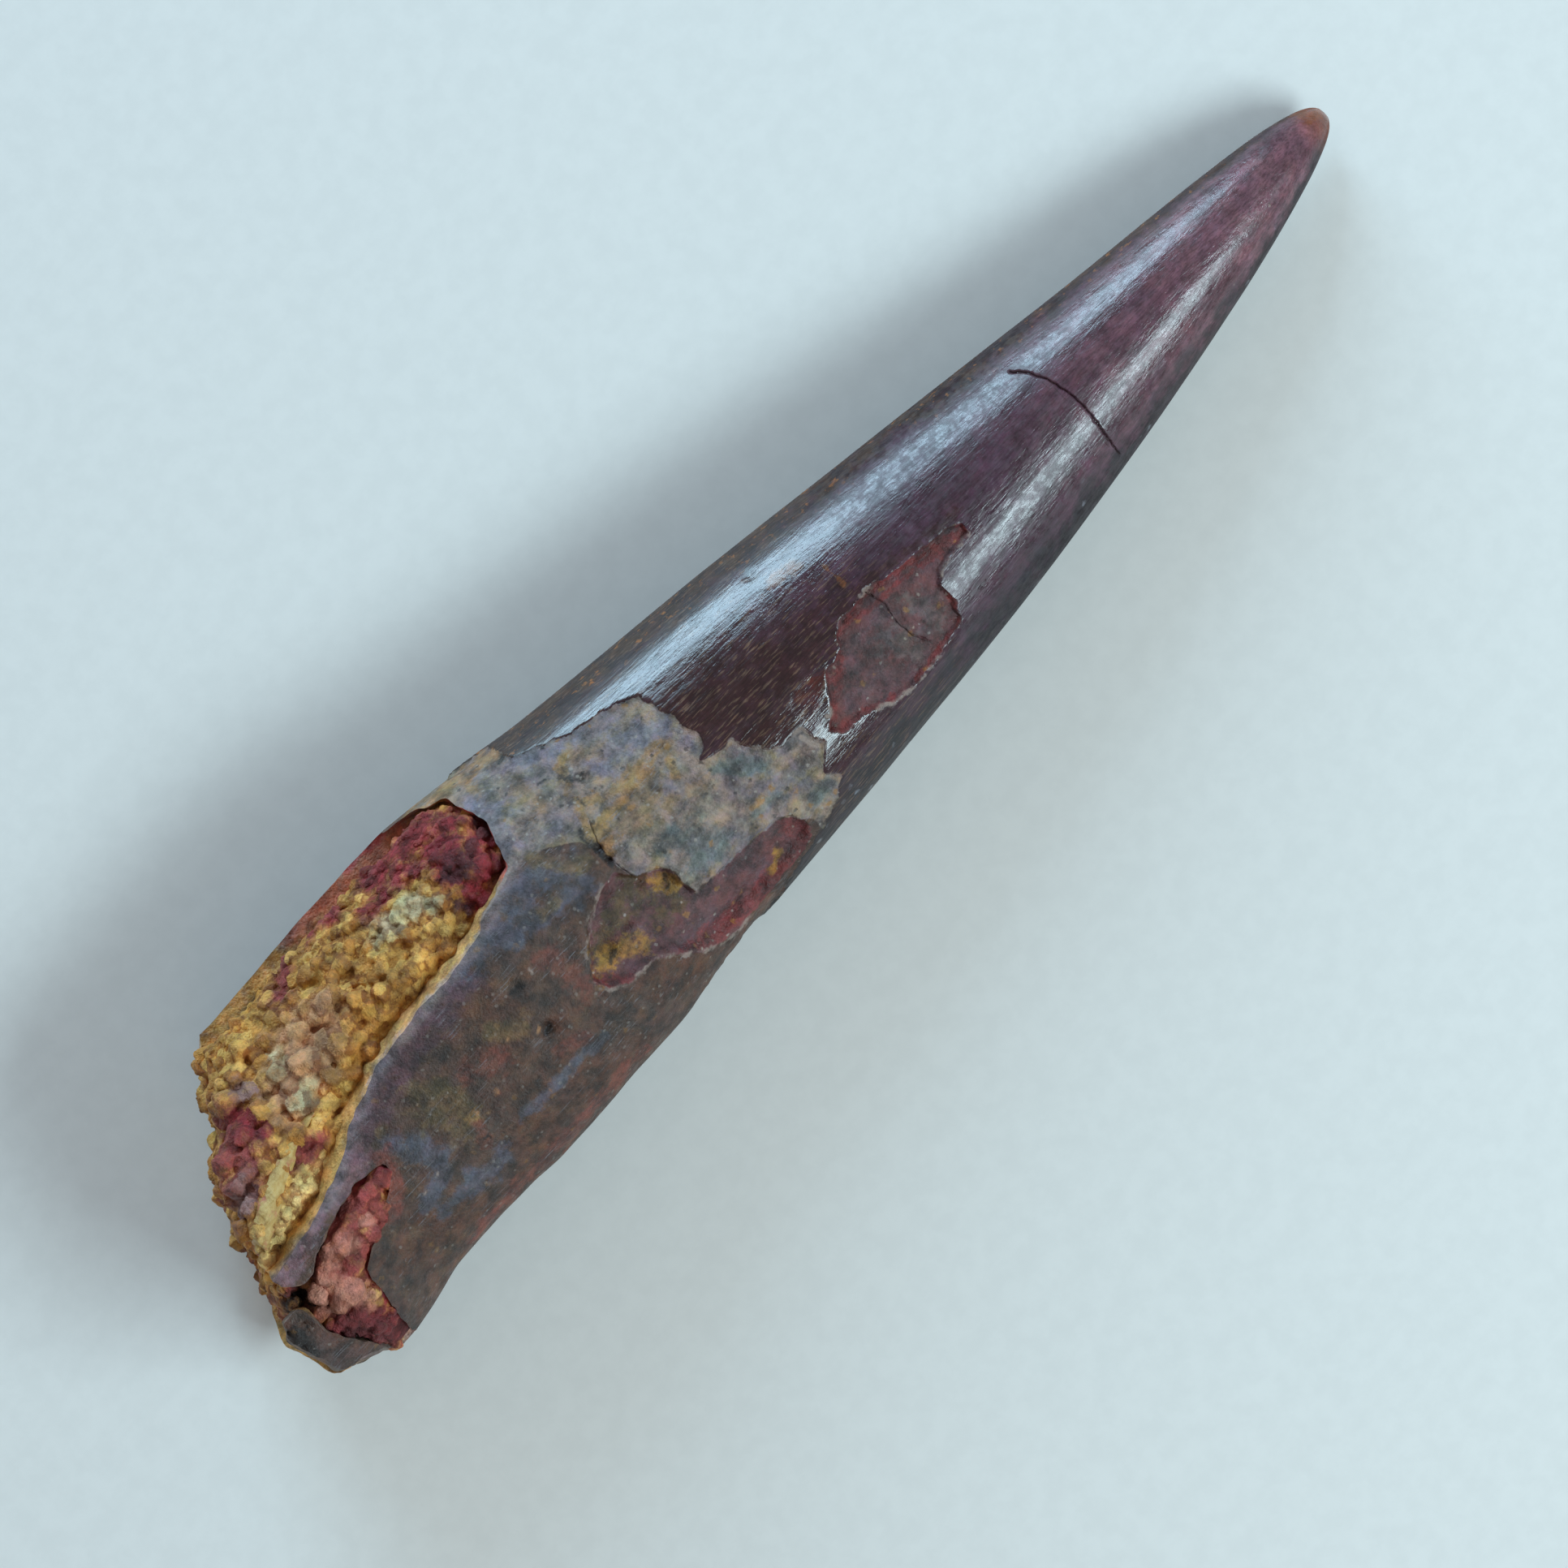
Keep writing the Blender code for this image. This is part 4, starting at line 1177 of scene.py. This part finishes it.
def chips_on(tree, point, bare_mm, flaked_mm):
    """White chips: along the stored rims of the enamel and of the flakes, and at the stored marks."""
    edge = reckon(tree, "MAXIMUM", flaked_mm, times(tree, bare_mm, -1.0))
    edge = reckon(tree, "MINIMUM", reckon(tree, "ABSOLUTE", edge), reckon(tree, "ABSOLUTE", flaked_mm))
    rim = times(tree, ramp(tree, edge, 0.03, 0.1, 1.0, 0.0), ramp(tree, stored(tree, "white_rim"), 0.2, 0.7))
    rim = times(tree, rim, patches(tree, point, 0.45, 0.42, 0.62))
    return reckon(tree, "MAXIMUM", rim, ramp(tree, stored(tree, "white_mark"), 0.25, 0.8))


def cracks_on(tree):
    away = reckon(tree, "ABSOLUTE", stored(tree, "crack_side"))
    beside_it = ramp(tree, stored(tree, "crack_on"), 0.4, 0.6)
    return times(tree, ramp(tree, away, 0.7, 1.3, 1.0, 0.0), beside_it)


def skin_gloss(tree, point, fine, dull, flank):
    """Roughness: glossy streaked enamel, worn towards the middle of the crown, and duller flanks and root."""
    smear = streaks(tree, point, 3.0, 0.22, 0.46, 0.62)
    along = x_of(tree, point)
    worn = ramp(tree, patches(tree, point, 0.28, 0.4, 0.62), 0.0, 1.0, 0.1, 0.3)
    middle = times(tree, ramp(tree, along, 3.5, 6.5), ramp(tree, along, 12.0, 17.0, 1.0, 0.5))
    worn = times(tree, worn, middle)
    glossy = plus(tree, ramp(tree, fine, 0.0, 1.0, 0.08, 0.18), times(tree, smear, 0.12))
    glossy = plus(tree, glossy, worn)
    glossy = plus(tree, glossy, times(tree, flank, 0.42))
    matte = ramp(tree, patches(tree, point, 0.3, 0.3, 0.7), 0.0, 1.0, 0.42, 0.65)
    return add(tree, "ShaderNodeMix", {0: dull, 2: glossy, 3: matte}).outputs[0]


def skin_relief(tree, point, fine, dull):
    """Height of the finest relief: fine ripples and grooves on enamel, and a coarser grain elsewhere."""
    strength = ramp(tree, dull, 0.0, 1.0, 0.06, 0.8)
    grain = times(tree, patches(tree, point, 0.1, 0.2, 0.8), strength)
    ripples = times(tree, streaks(tree, point, 1.2, 0.26, 0.3, 0.7), 0.24)
    grooves = plus(tree, times(tree, fine, 0.1), ripples)
    grooves = times(tree, grooves, ramp(tree, dull, 0.0, 1.0, 1.0, 0.3))
    return plus(tree, grain, grooves)


def skin_material():
    """The whole outside of the tooth, told apart by the weights stored on its points."""
    material, tree, shader, point = new_material("enamel_and_dentine")
    ragged = times(tree, reckon(tree, "SUBTRACT", patches(tree, point, 0.12, 0.2, 0.8), 0.5), 0.06)
    bare_mm = stored(tree, "bare_mm")
    flaked_mm = plus(tree, stored(tree, "flaked_mm"), ragged)
    bare = ramp(tree, plus(tree, bare_mm, ragged), -0.02, 0.03)
    flaked = ramp(tree, flaked_mm, -0.02, 0.03)
    chips = chips_on(tree, point, bare_mm, flaked_mm)
    colour = blend(tree, bare, enamel_colour(tree, point), root_colour(tree, point))
    colour = blend(tree, flaked, colour, flake_colour(tree, point))
    colour = blend(tree, times(tree, chips, 0.6), colour, linear(WHITE_CHIP))
    colour = blend(tree, times(tree, cracks_on(tree), 0.85), colour, linear(CRACK_DARK))
    tree.links.new(colour, shader.inputs["Base Color"])

    fine = streaks(tree, point, 2.2, 0.1, 0.35, 0.65)
    dull = reckon(tree, "MAXIMUM", reckon(tree, "MAXIMUM", bare, flaked), chips)
    flank = ramp(tree, stored(tree, "flank"), 0.72, 0.9)
    tree.links.new(skin_gloss(tree, point, fine, dull, flank), shader.inputs["Roughness"])
    coat = ramp(tree, reckon(tree, "MAXIMUM", dull, flank), 0.0, 1.0, 0.2, 0.0)
    tree.links.new(coat, shader.inputs["Coat Weight"])
    shader.inputs["Coat Roughness"].default_value = 0.1
    shader.inputs["IOR"].default_value = 1.52
    raised(tree, shader, skin_relief(tree, point, fine, dull), 0.035)
    return material


def broken_material():
    """Faces where the wall is broken through."""
    material, tree, shader, point = new_material("broken_dentine")
    colour = blend(tree, patches(tree, point, 0.5, 0.4, 0.6), linear(BREAK_OCHRE), linear(BREAK_TAN))
    ragged = ramp(tree, patches(tree, point, 0.3, 0.3, 0.7), 0.0, 1.0, -0.12, 0.12)
    edge = plus(tree, stored(tree, "depth_mm"), ragged)
    colour = blend(tree, ramp(tree, edge, 0.1, 0.55, 0.9, 0.0), colour, linear(BREAK_LIP))
    colour = stained(tree, colour, BREAK_STAINS, point, 0.6, 0.9, 1.6, linear)
    colour = mottled(tree, colour, point, 0.8)
    tree.links.new(colour, shader.inputs["Base Color"])
    shader.inputs["Roughness"].default_value = 0.62
    raised(tree, shader, patches(tree, point, 0.12, 0.2, 0.8), 0.05)
    return material


def sand_colour(tree, point, tint):
    """Ochre sand with its red, pink and cream zones; tint, from 0 to 1, differs from grain to grain."""
    ochre = blend(tree, tint, linear(SAND_OCHRE), linear(SAND_LIGHT))
    colour = stained(tree, ochre, SAND_STAINS, point, 0.5, 1.0, 1.2, linear)
    zones = times(tree, patches(tree, point, 1.7, 0.5, 0.58), stored(tree, "deep"))
    colour = blend(tree, times(tree, zones, 0.8), colour, linear(SAND_RED))
    shade = blend(tree, tint, linear(GRAIN_SHADE), linear(GRAIN_LIGHT))
    return blend(tree, 0.6, colour, shade, "MULTIPLY")


def sandstone_material():
    """The cement between the grains, darker than they are: partly its own colour, partly painted shade of the
    recesses under the grains.
    """
    material, tree, shader, point = new_material("cemented_sand")
    colour = sand_colour(tree, point, patches(tree, point, 0.2, 0.3, 0.7))
    shade_patches = patches(tree, point, 0.25, 0.4, 0.62)
    colour = mottled(tree, colour, point, 0.7)
    # Darkens the cement in patches: partly its own colour, partly painted shade of the recesses
    colour = blend(tree, ramp(tree, shade_patches, 0.0, 1.0, 0.7, 0.2), colour, linear(SAND_GAP_SHADE), "MULTIPLY")
    tree.links.new(colour, shader.inputs["Base Color"])
    shader.inputs["Roughness"].default_value = 0.85
    raised(tree, shader, patches(tree, point, 0.12, 0.2, 0.8), 0.06)
    return material


def grain_material():
    material, tree, shader, point = new_material("sand_grains")
    colour = sand_colour(tree, point, stored(tree, "tint"))
    colour = mottled(tree, colour, point, 0.6)
    dots = times(tree, specks(tree, point, 0.13, 0.2), 0.5)
    colour = blend(tree, dots, colour, linear(SAND_SPECK))
    # Painted shade: points far from their grain's centre, in the joints between grains, are darkened
    painted_gap_shade = ramp(tree, stored(tree, "painted_gap_shade"), 0.45, 0.85, 0.0, 0.6)
    colour = blend(tree, painted_gap_shade, colour, linear(SAND_GAP_SHADE), "MULTIPLY")
    tree.links.new(colour, shader.inputs["Base Color"])
    shader.inputs["Roughness"].default_value = 0.6
    raised(tree, shader, patches(tree, point, 0.09, 0.25, 0.75), 0.05)
    return material


def plate_material():
    """The thin yellow-green plate that stands in the sand."""
    material, tree, shader, point = new_material("buried_plate")
    grain = streaks(tree, point, 1.5, 0.15, 0.35, 0.65)
    colour = blend(tree, grain, linear(PLATE_OLIVE), linear(PLATE_CREAM))
    colour = blend(tree, patches(tree, point, 0.4, 0.52, 0.7), colour, linear(PLATE_PINK))
    tree.links.new(colour, shader.inputs["Base Color"])
    shader.inputs["Roughness"].default_value = 0.55
    raised(tree, shader, patches(tree, point, 0.15, 0.2, 0.8), 0.04)
    return material


def store_skin(mesh):
    """Stores on the tooth's points what its materials tell apart."""
    points = mesh_points(mesh)
    across, up = around(points)
    store(mesh, "bare_mm", bare_by(points))
    # The thin flake keeps the enamel's colour
    flaked = [flaked_by(points, outline, seed) for outline, _, _, seed in FLAKES[:2]]
    store(mesh, "flaked_mm", np.max(flaked, axis=0))
    side, on = crack_sides(points)
    store(mesh, "crack_side", np.clip(side, -9.0, 9.0))
    store(mesh, "crack_on", on)
    store(mesh, "flank", np.where(up > 0, np.abs(across), 1.0))
    store(mesh, "near_side", smoothstep(0.3, -0.3, across))
    y, z, half, tall = section(points[:, 0])
    store(mesh, "depth_mm", half * (1.0 - np.hypot((points[:, 1] - y) / half, (points[:, 2] - z) / tall)))
    store(mesh, "rim_mm", to_line(UPPER_RIM, *wandering(points, reach=0.15, size=0.5, seed=16.0)))
    behind = inside_by(WEATHERED, *wandering(points, reach=0.25, size=0.7, seed=12.0))
    store(mesh, "weathered", np.where(up > -0.2, smoothstep(-0.15, 0.15, behind), 0.0))
    x, y = wandering(points, reach=0.12, size=0.4, seed=13.0)
    seen = smoothstep(-0.3, 0.0, up)
    for stains in (ROOT_STAINS, ROOT_MARKS, FLAKE_STAINS, ENAMEL_STAINS, BREAK_STAINS):
        store_stains(mesh, stains, x, y, seen)
    x, y = wandering(points, reach=0.04, size=0.2, seed=14.0)
    store(mesh, "white_mark", stroke_weight(WHITE_MARKS, x, y) * seen)
    store(mesh, "white_rim", stroke_weight(WHITE_RIMS, x, y) * seen)


def build_tooth():
    made = wrap(TOOTH_SIDES, TOOTH_RINGS, tooth_surface)
    if FULL:
        refine(made, edge_distance(points_of(made)), reach=0.2, cuts=1)
        refine(made, crack_distance(points_of(made)), reach=0.2, cuts=3)
    points = points_of(made)
    across, up = around(points)
    lost = worn_away(points)
    points[:, 1] -= lost * across
    points[:, 2] -= lost * up
    move_points(made, points)
    flatten_belly(made)
    point_outwards(made)
    tooth = as_object("tooth_shell", made)
    tooth.data.materials.append(skin_material())
    hollow = as_object("hollow_cutter", wrap(60, 40, hollow_surface))
    wall_end = end_cutter("wall_end_cutter", WALL_END, 2.0)
    roughen(wall_end, VOXEL, height=0.08, size=0.6, seed=21.0)
    upper = upper_cutter()
    roughen(upper, VOXEL, height=0.1, size=0.8, seed=22.0)
    lower = lower_cutter()
    roughen(lower, VOXEL, height=0.09, size=0.5, seed=23.0)
    cut(tooth, [hollow, wall_end, upper, lower], broken_material())
    tooth.data.shade_smooth()
    tooth.data.set_sharp_from_angle(angle=math.radians(38))
    store_skin(tooth.data)
    rim = exposed_faces(tooth.data, on_far_rim)
    placed(tooth, "tooth", "tooth")
    return rim


def opened_by(points):
    """From 0 where the wall covers the sandstone to 1 well inside an opening."""
    x, y, z = points.T
    in_upper = smoothstep(-0.1, 0.6, inside_by(upper_opening(), x, y))
    in_upper = in_upper * smoothstep(-0.3, 0.9, z - FAR_RIM_Z)
    in_upper *= smoothstep(0.1, 0.65, to_line(NEAR_RIM, x, y))
    in_lower = smoothstep(-0.3, 0.2, inside_by(lower_opening(), x, y))
    in_lower = in_lower * smoothstep(0.0, 0.5, z - LOWER_CUT_Z)
    in_lower *= smoothstep(-5.3, -4.3, y)
    return in_upper, in_lower


def fill_surface(share, angle):
    """Fills the hollow up to the wall, and swells into the openings, lumpy wherever it shows."""
    x = HOLLOW_END_X + (BEYOND - HOLLOW_END_X) * share**0.7
    buried = section_points(x, angle, BURIED_DEPTH)
    in_upper, in_lower = opened_by(buried)
    bulge = np.maximum(in_upper, in_lower)
    lump = 0.4 * (0.5 + 0.5 * bumps(buried, 1.6)) * (0.3 + 0.7 * bulge) * (1 - 0.7 * in_lower)
    lump += (0.28 * bumps(buried, 0.9, 31.0) + 0.12 * bumps(buried, 0.4, 32.0)) * bulge
    for at_x, at_y, radius, depth in HOLES:
        lump += depth * np.exp(-(np.hypot(x - at_x, buried[:, 1] - at_y) / radius) ** 2) * (angle > 0)
    crown_end = smoothstep(-12.0, -9.8, x) * bulge
    inset = WALL - WALL_OVERLAP + (UPPER_SAND_DEPTH - WALL) * in_upper
    inset = inset + (LOWER_SAND_DEPTH - WALL) * in_lower * (1 - in_upper)
    inset += lump * (1 - 0.6 * crown_end) - 0.2 * crown_end
    return drawn_in(x, section_points(x, angle, inset), hollow_radius_share(x) ** (1 - 0.8 * bulge))


def store_sand(mesh, points):
    """Stores the sand's stains, which lie near its top, and how deep in the root each point is."""
    y, z, half, tall = section(points[:, 0])
    out = np.hypot((points[:, 1] - y) / half, (points[:, 2] - z) / tall)
    surface = smoothstep(0.5, 0.7, out) * smoothstep(-0.4, 0.1, (points[:, 2] - z) / tall)
    store(mesh, "deep", 1.0 - surface)
    store_stains(mesh, SAND_STAINS, *wandering(points, reach=0.25, size=0.6, seed=15.0), surface)


def build_fill():
    fill = as_object("sandstone_core", wrap(FILL_SIDES, FILL_RINGS, fill_surface))
    fill.data.materials.append(sandstone_material())
    # The broken end keeps a material of its own, which tells its faces apart for the grains
    end = end_cutter("fill_end_cutter", FILL_END, 7.0)
    roughen(end, VOXEL, height=0.16, size=0.7, seed=24.0)
    cut(fill, [end], sandstone_material())
    fill.data.shade_smooth()
    store_sand(fill.data, mesh_points(fill.data))
    return fill


def grain_sizes(x, y):
    """How big the grains are at each (x, y), and what share of the places bears one."""
    zones = (COARSE_SAND, MIDDLING_SAND, SMOOTH_SAND)
    coarse, middling, smooth = (stroke_weight(strokes, x, y) for strokes in zones)
    holes = stroke_weight([(radius, [(at_x, at_y)]) for at_x, at_y, radius, _ in HOLES], x, y)
    size = GRAIN_SIZE + 0.4 * coarse + 0.16 * middling - 0.08 * smooth
    return size, (1.0 - 0.9 * smooth) * (1.0 - holes)


def grain_templates():
    """A few uneven grains with blunt corners, each a cube with its faces divided once."""
    templates = []
    for seed in range(GRAIN_SHAPES):
        made = bmesh.new()
        bmesh.ops.create_cube(made, size=1.0)
        bmesh.ops.subdivide_edges(made, edges=made.edges, cuts=1, use_grid_fill=True)
        for vert in made.verts:
            rounded = vert.co.normalized() * 0.55
            uneven = noise.noise(vert.co * 1.9 + Vector((seed * 7.0, 0, 0)))
            vert.co = vert.co.lerp(rounded, 0.5) * (1 + 0.9 * uneven)
        mesh = bpy.data.meshes.new("grain")
        made.to_mesh(mesh)
        made.free()
        templates.append(mesh)
    return templates


def exposed_faces(mesh, choose):
    """The chosen triangles of a mesh: their corners, their way out and their areas."""
    mesh.calc_loop_triangles()
    count = len(mesh.loop_triangles)
    corner_ids, faces = np.empty(count * 3, np.int32), np.empty(count, np.int32)
    mesh.loop_triangles.foreach_get("vertices", corner_ids)
    mesh.loop_triangles.foreach_get("polygon_index", faces)
    materials = np.empty(len(mesh.polygons), np.int32)
    mesh.polygons.foreach_get("material_index", materials)
    corners = mesh_points(mesh)[corner_ids.reshape(-1, 3)]
    out = np.cross(corners[:, 1] - corners[:, 0], corners[:, 2] - corners[:, 0])
    area = np.linalg.norm(out, axis=1)
    out /= np.maximum(area, 1e-9)[:, None]
    shown = choose(*corners.mean(axis=1).T, out, materials[faces] == 1)
    return corners[shown], out[shown], area[shown]


def on_shown_sand(x, y, z, out, is_cut):
    """Whether a part of the sandstone shows in an opening or on the broken end."""
    shown = (inside_by(upper_opening(), x, y) > 0.1) & (z > FAR_RIM_Z - 0.1) & (out[:, 2] > 0)
    shown &= to_line(NEAR_RIM, x, y) > 0.33
    in_lower = (inside_by(lower_opening(), x, y) > 0.0) & (z > LOWER_CUT_Z) & (out[:, 2] > 0)
    return shown | in_lower & (y > -5.0) | is_cut


def on_far_rim(x, y, z, out, is_cut):
    """Whether a part of the broken wall lies on the upper opening's far rim, where sand still clings."""
    shown = is_cut & (y > 3.6) & (x < -9.6) & (z < FAR_RIM_Z + 0.5) & (out[:, 2] > 0.4)
    places = np.stack([x, y, z], axis=1)[shown]
    shown[shown] = bumps(places, 0.9, 61.0) > np.interp(places[:, 1], (4.6, 5.3), (-0.4, 1.0))
    return shown


def exposed_places(exposed, rng, tries):
    """Random places on the sandstone where it shows, with the way out of it."""
    corners, out, area = exposed
    for pick in rng.choices(range(len(area)), weights=area.tolist(), k=tries):
        a, b = rng.random(), rng.random()
        if a + b > 1:
            a, b = 1 - a, 1 - b
        first, second, third = corners[pick]
        yield Vector(first + (second - first) * a + (third - first) * b), Vector(out[pick])


def scatter_grains(exposed, rng):
    """Places of the grains as (place, way out, size), the larger ones first, none too near another."""
    taken, grains = {}, []
    steps = list(itertools.product((-1, 0, 1), repeat=3))
    for scale, spread, tries in GRAIN_CLASSES:
        for place, out in exposed_places(exposed, rng, tries):
            size, share = (float(v[0]) for v in grain_sizes(np.array([place.x]), np.array([place.y])))
            size *= scale * rng.uniform(0.8, 1.3)
            cell = tuple(int(c // GRAIN_CELL) for c in place)
            cells = [(cell[0] + dx, cell[1] + dy, cell[2] + dz) for dx, dy, dz in steps]
            near = [grain for key in cells for grain in taken.get(key, [])]
            crowded = any((place - other[0]).length < spread * (size + other[2]) / 2 for other in near)
            if rng.random() > share or crowded:
                continue
            grain = (place, out, size)
            taken.setdefault(cell, []).append(grain)
            grains.append(grain)
    return grains


def grain_crust(name, grains, rng):
    """Cements sand grains into one crust on the sandstone, and stores each grain's tint and each point's
    distance from its grain, for painted shade in the joints.
    """
    templates = grain_templates()
    made = bmesh.new()
    for place, out, size in grains:
        stretch = Matrix.Diagonal((size * rng.uniform(0.85, 1.3), size * rng.uniform(0.7, 1.05), size, 1.0))
        turn = Matrix.Rotation(rng.uniform(0, 6.3), 4, Vector([rng.gauss(0, 1) for _ in range(3)]))
        copy = rng.choice(templates).copy()
        copy.transform(Matrix.Translation(place + out * size * rng.uniform(-0.38, 0.08)) @ turn @ stretch)
        made.from_mesh(copy)
        bpy.data.meshes.remove(copy)
    for template in templates:
        bpy.data.meshes.remove(template)
    crust = as_object(name, made)
    roughen(crust, GRAIN_VOXEL, height=0.06, size=0.26, seed=51.0)

    finder = KDTree(len(grains))
    for i, (place, _, _) in enumerate(grains):
        finder.insert(place, i)
    finder.balance()
    tint = [rng.random() for _ in grains]
    points = mesh_points(crust.data)
    nearest = [finder.find(point) for point in points]
    store(crust.data, "tint", [tint[i] for _, i, _ in nearest])
    # How far each point lies from its grain's centre, which drives the painted shade in the joints
    store(crust.data, "painted_gap_shade", [distance / grains[i][2] for _, i, distance in nearest])
    centres = np.array([place[:] for place, _, _ in nearest])
    store_sand(crust.data, 0.6 * centres + 0.4 * points)
    crust.data.shade_smooth()
    return crust


def build_grains(fill, rim):
    """The crusts of sand grains in the two openings and on the broken end."""
    rng = random.Random(4)
    material = grain_material()
    exposed = [np.concatenate(parts) for parts in zip(exposed_faces(fill.data, on_shown_sand), rim)]
    upper, lower, end = [], [], []
    for grain in scatter_grains(exposed, rng):
        place, out, _ = grain
        crust = end if out.x < -0.5 else upper if place.y > -1.0 else lower
        crust.append(grain)
    for name, chosen in (("sand_grains", upper), ("breach_grains", lower), ("end_grains", end)):
        crust = grain_crust(name, chosen, rng)
        crust.data.materials.append(material)
        placed(crust, "sandstone")


def build_plate(fill):
    """The plate's crest, laid along its line on top of the sand."""
    corners = [vert.co[:] for vert in fill.data.vertices]
    tree = BVHTree.FromPolygons(corners, [face.vertices[:] for face in fill.data.polygons])
    line_x, line_y = np.array(PLATE_LINE).T

    def ground_at(x, y):
        return tree.ray_cast(Vector((x, y, PLATE_DROP_Z)), Vector((0, 0, -1)))[0].z

    def surface(share, angle):
        x = line_x[0] + (line_x[-1] - line_x[0]) * share
        y = np.interp(-x, -line_x, line_y)
        wide = (0.2 + 0.3 * share) * np.sin(math.pi * np.clip(share, 0.02, 0.98)) ** 0.25
        ground = np.array([ground_at(*place) for place in zip(x, y)])
        rough = bumps(np.stack([x, y + np.cos(angle), np.sin(angle)], axis=1), 0.35, 41.0)
        across = wide * np.cos(angle) * (1 + 0.15 * rough)
        up = PLATE_HALF_HEIGHT * np.sin(angle) * (1 + 0.25 * rough)
        return np.stack([x, y + across, ground - PLATE_SINK + up], axis=1)

    plate = as_object("buried_plate", wrap(36, 90, surface))
    plate.data.materials.append(plate_material())
    plate.data.shade_smooth()
    return plate


def softbox(name, place, along, length, width, watts, colour):
    """A soft rectangular light that faces the tooth, its length running along the given direction."""
    light = bpy.data.lights.new(name, "AREA")
    light.shape = "RECTANGLE"
    light.size, light.size_y = length * MM, width * MM
    light.energy = watts
    light.color = colour
    lamp = bpy.data.objects.new(name, light)
    bpy.context.scene.collection.objects.link(lamp)
    back = (Vector(place) - Vector((0.0, 0.0, 4.0))).normalized()
    side = Vector(along)
    side = (side - back * side.dot(back)).normalized()
    axes = Matrix((side, back.cross(side), back)).transposed()
    lamp.matrix_world = Matrix.Translation(Vector(place) * MM) @ axes.to_4x4()


def paper_material():
    material, tree, shader, point = new_material("pale_paper")
    fibre = patches(tree, point, 0.8, 0.3, 0.7)
    tree.links.new(blend(tree, fibre, linear(PAPER), linear(PAPER_LIGHT)), shader.inputs["Base Color"])
    shader.inputs["Roughness"].default_value = 0.9
    return material


def build_camera():
    """Looks straight down, with the tooth as large and as slanted as in the photograph."""
    lens = bpy.data.cameras.new("camera")
    lens.sensor_width = 36.0
    lens.lens = lens.sensor_width * (CAMERA_HEIGHT - SILHOUETTE_Z) / PICTURE_WIDTH
    lens.clip_start = 0.01
    camera = bpy.data.objects.new("camera", lens)
    bpy.context.scene.collection.objects.link(camera)
    camera.location = (PICTURE_CENTRE[0] * MM, PICTURE_CENTRE[1] * MM, CAMERA_HEIGHT * MM)
    camera.rotation_euler = (0.0, 0.0, -PICTURE_TURN)
    bpy.context.scene.camera = camera


def build_studio():
    """A plain pale floor, two soft lights and an even, faint sky."""
    made = bmesh.new()
    bmesh.ops.create_grid(made, x_segments=1, y_segments=1, size=1500.0)
    floor = as_object("pale_floor", made)
    floor.data.transform(Matrix.Scale(MM, 4))
    floor.data.materials.append(paper_material())

    softbox("window", (75, 225, 85), (63, -42, 72), 200, 76, 0.62, (0.54, 0.81, 1.0))
    softbox("lamp", (78, -172, 172), (51, 24, 2), 150, 64, 0.5, (0.72, 0.93, 1.0))

    world = bpy.data.worlds.new("studio")
    bpy.context.scene.world = world
    world.use_nodes = True
    sky = world.node_tree.nodes["Background"]
    sky.inputs["Color"].default_value = (1.0, 0.97, 0.94, 1.0)
    sky.inputs["Strength"].default_value = 0.3
    bpy.context.scene.view_settings.view_transform = "Standard"


far_rim_faces = build_tooth()
core = build_fill()
build_grains(core, far_rim_faces)
plate = build_plate(core)
placed(core, "sandstone", "sandstone_fill")
placed(plate, "sandstone")
build_studio()
build_camera()
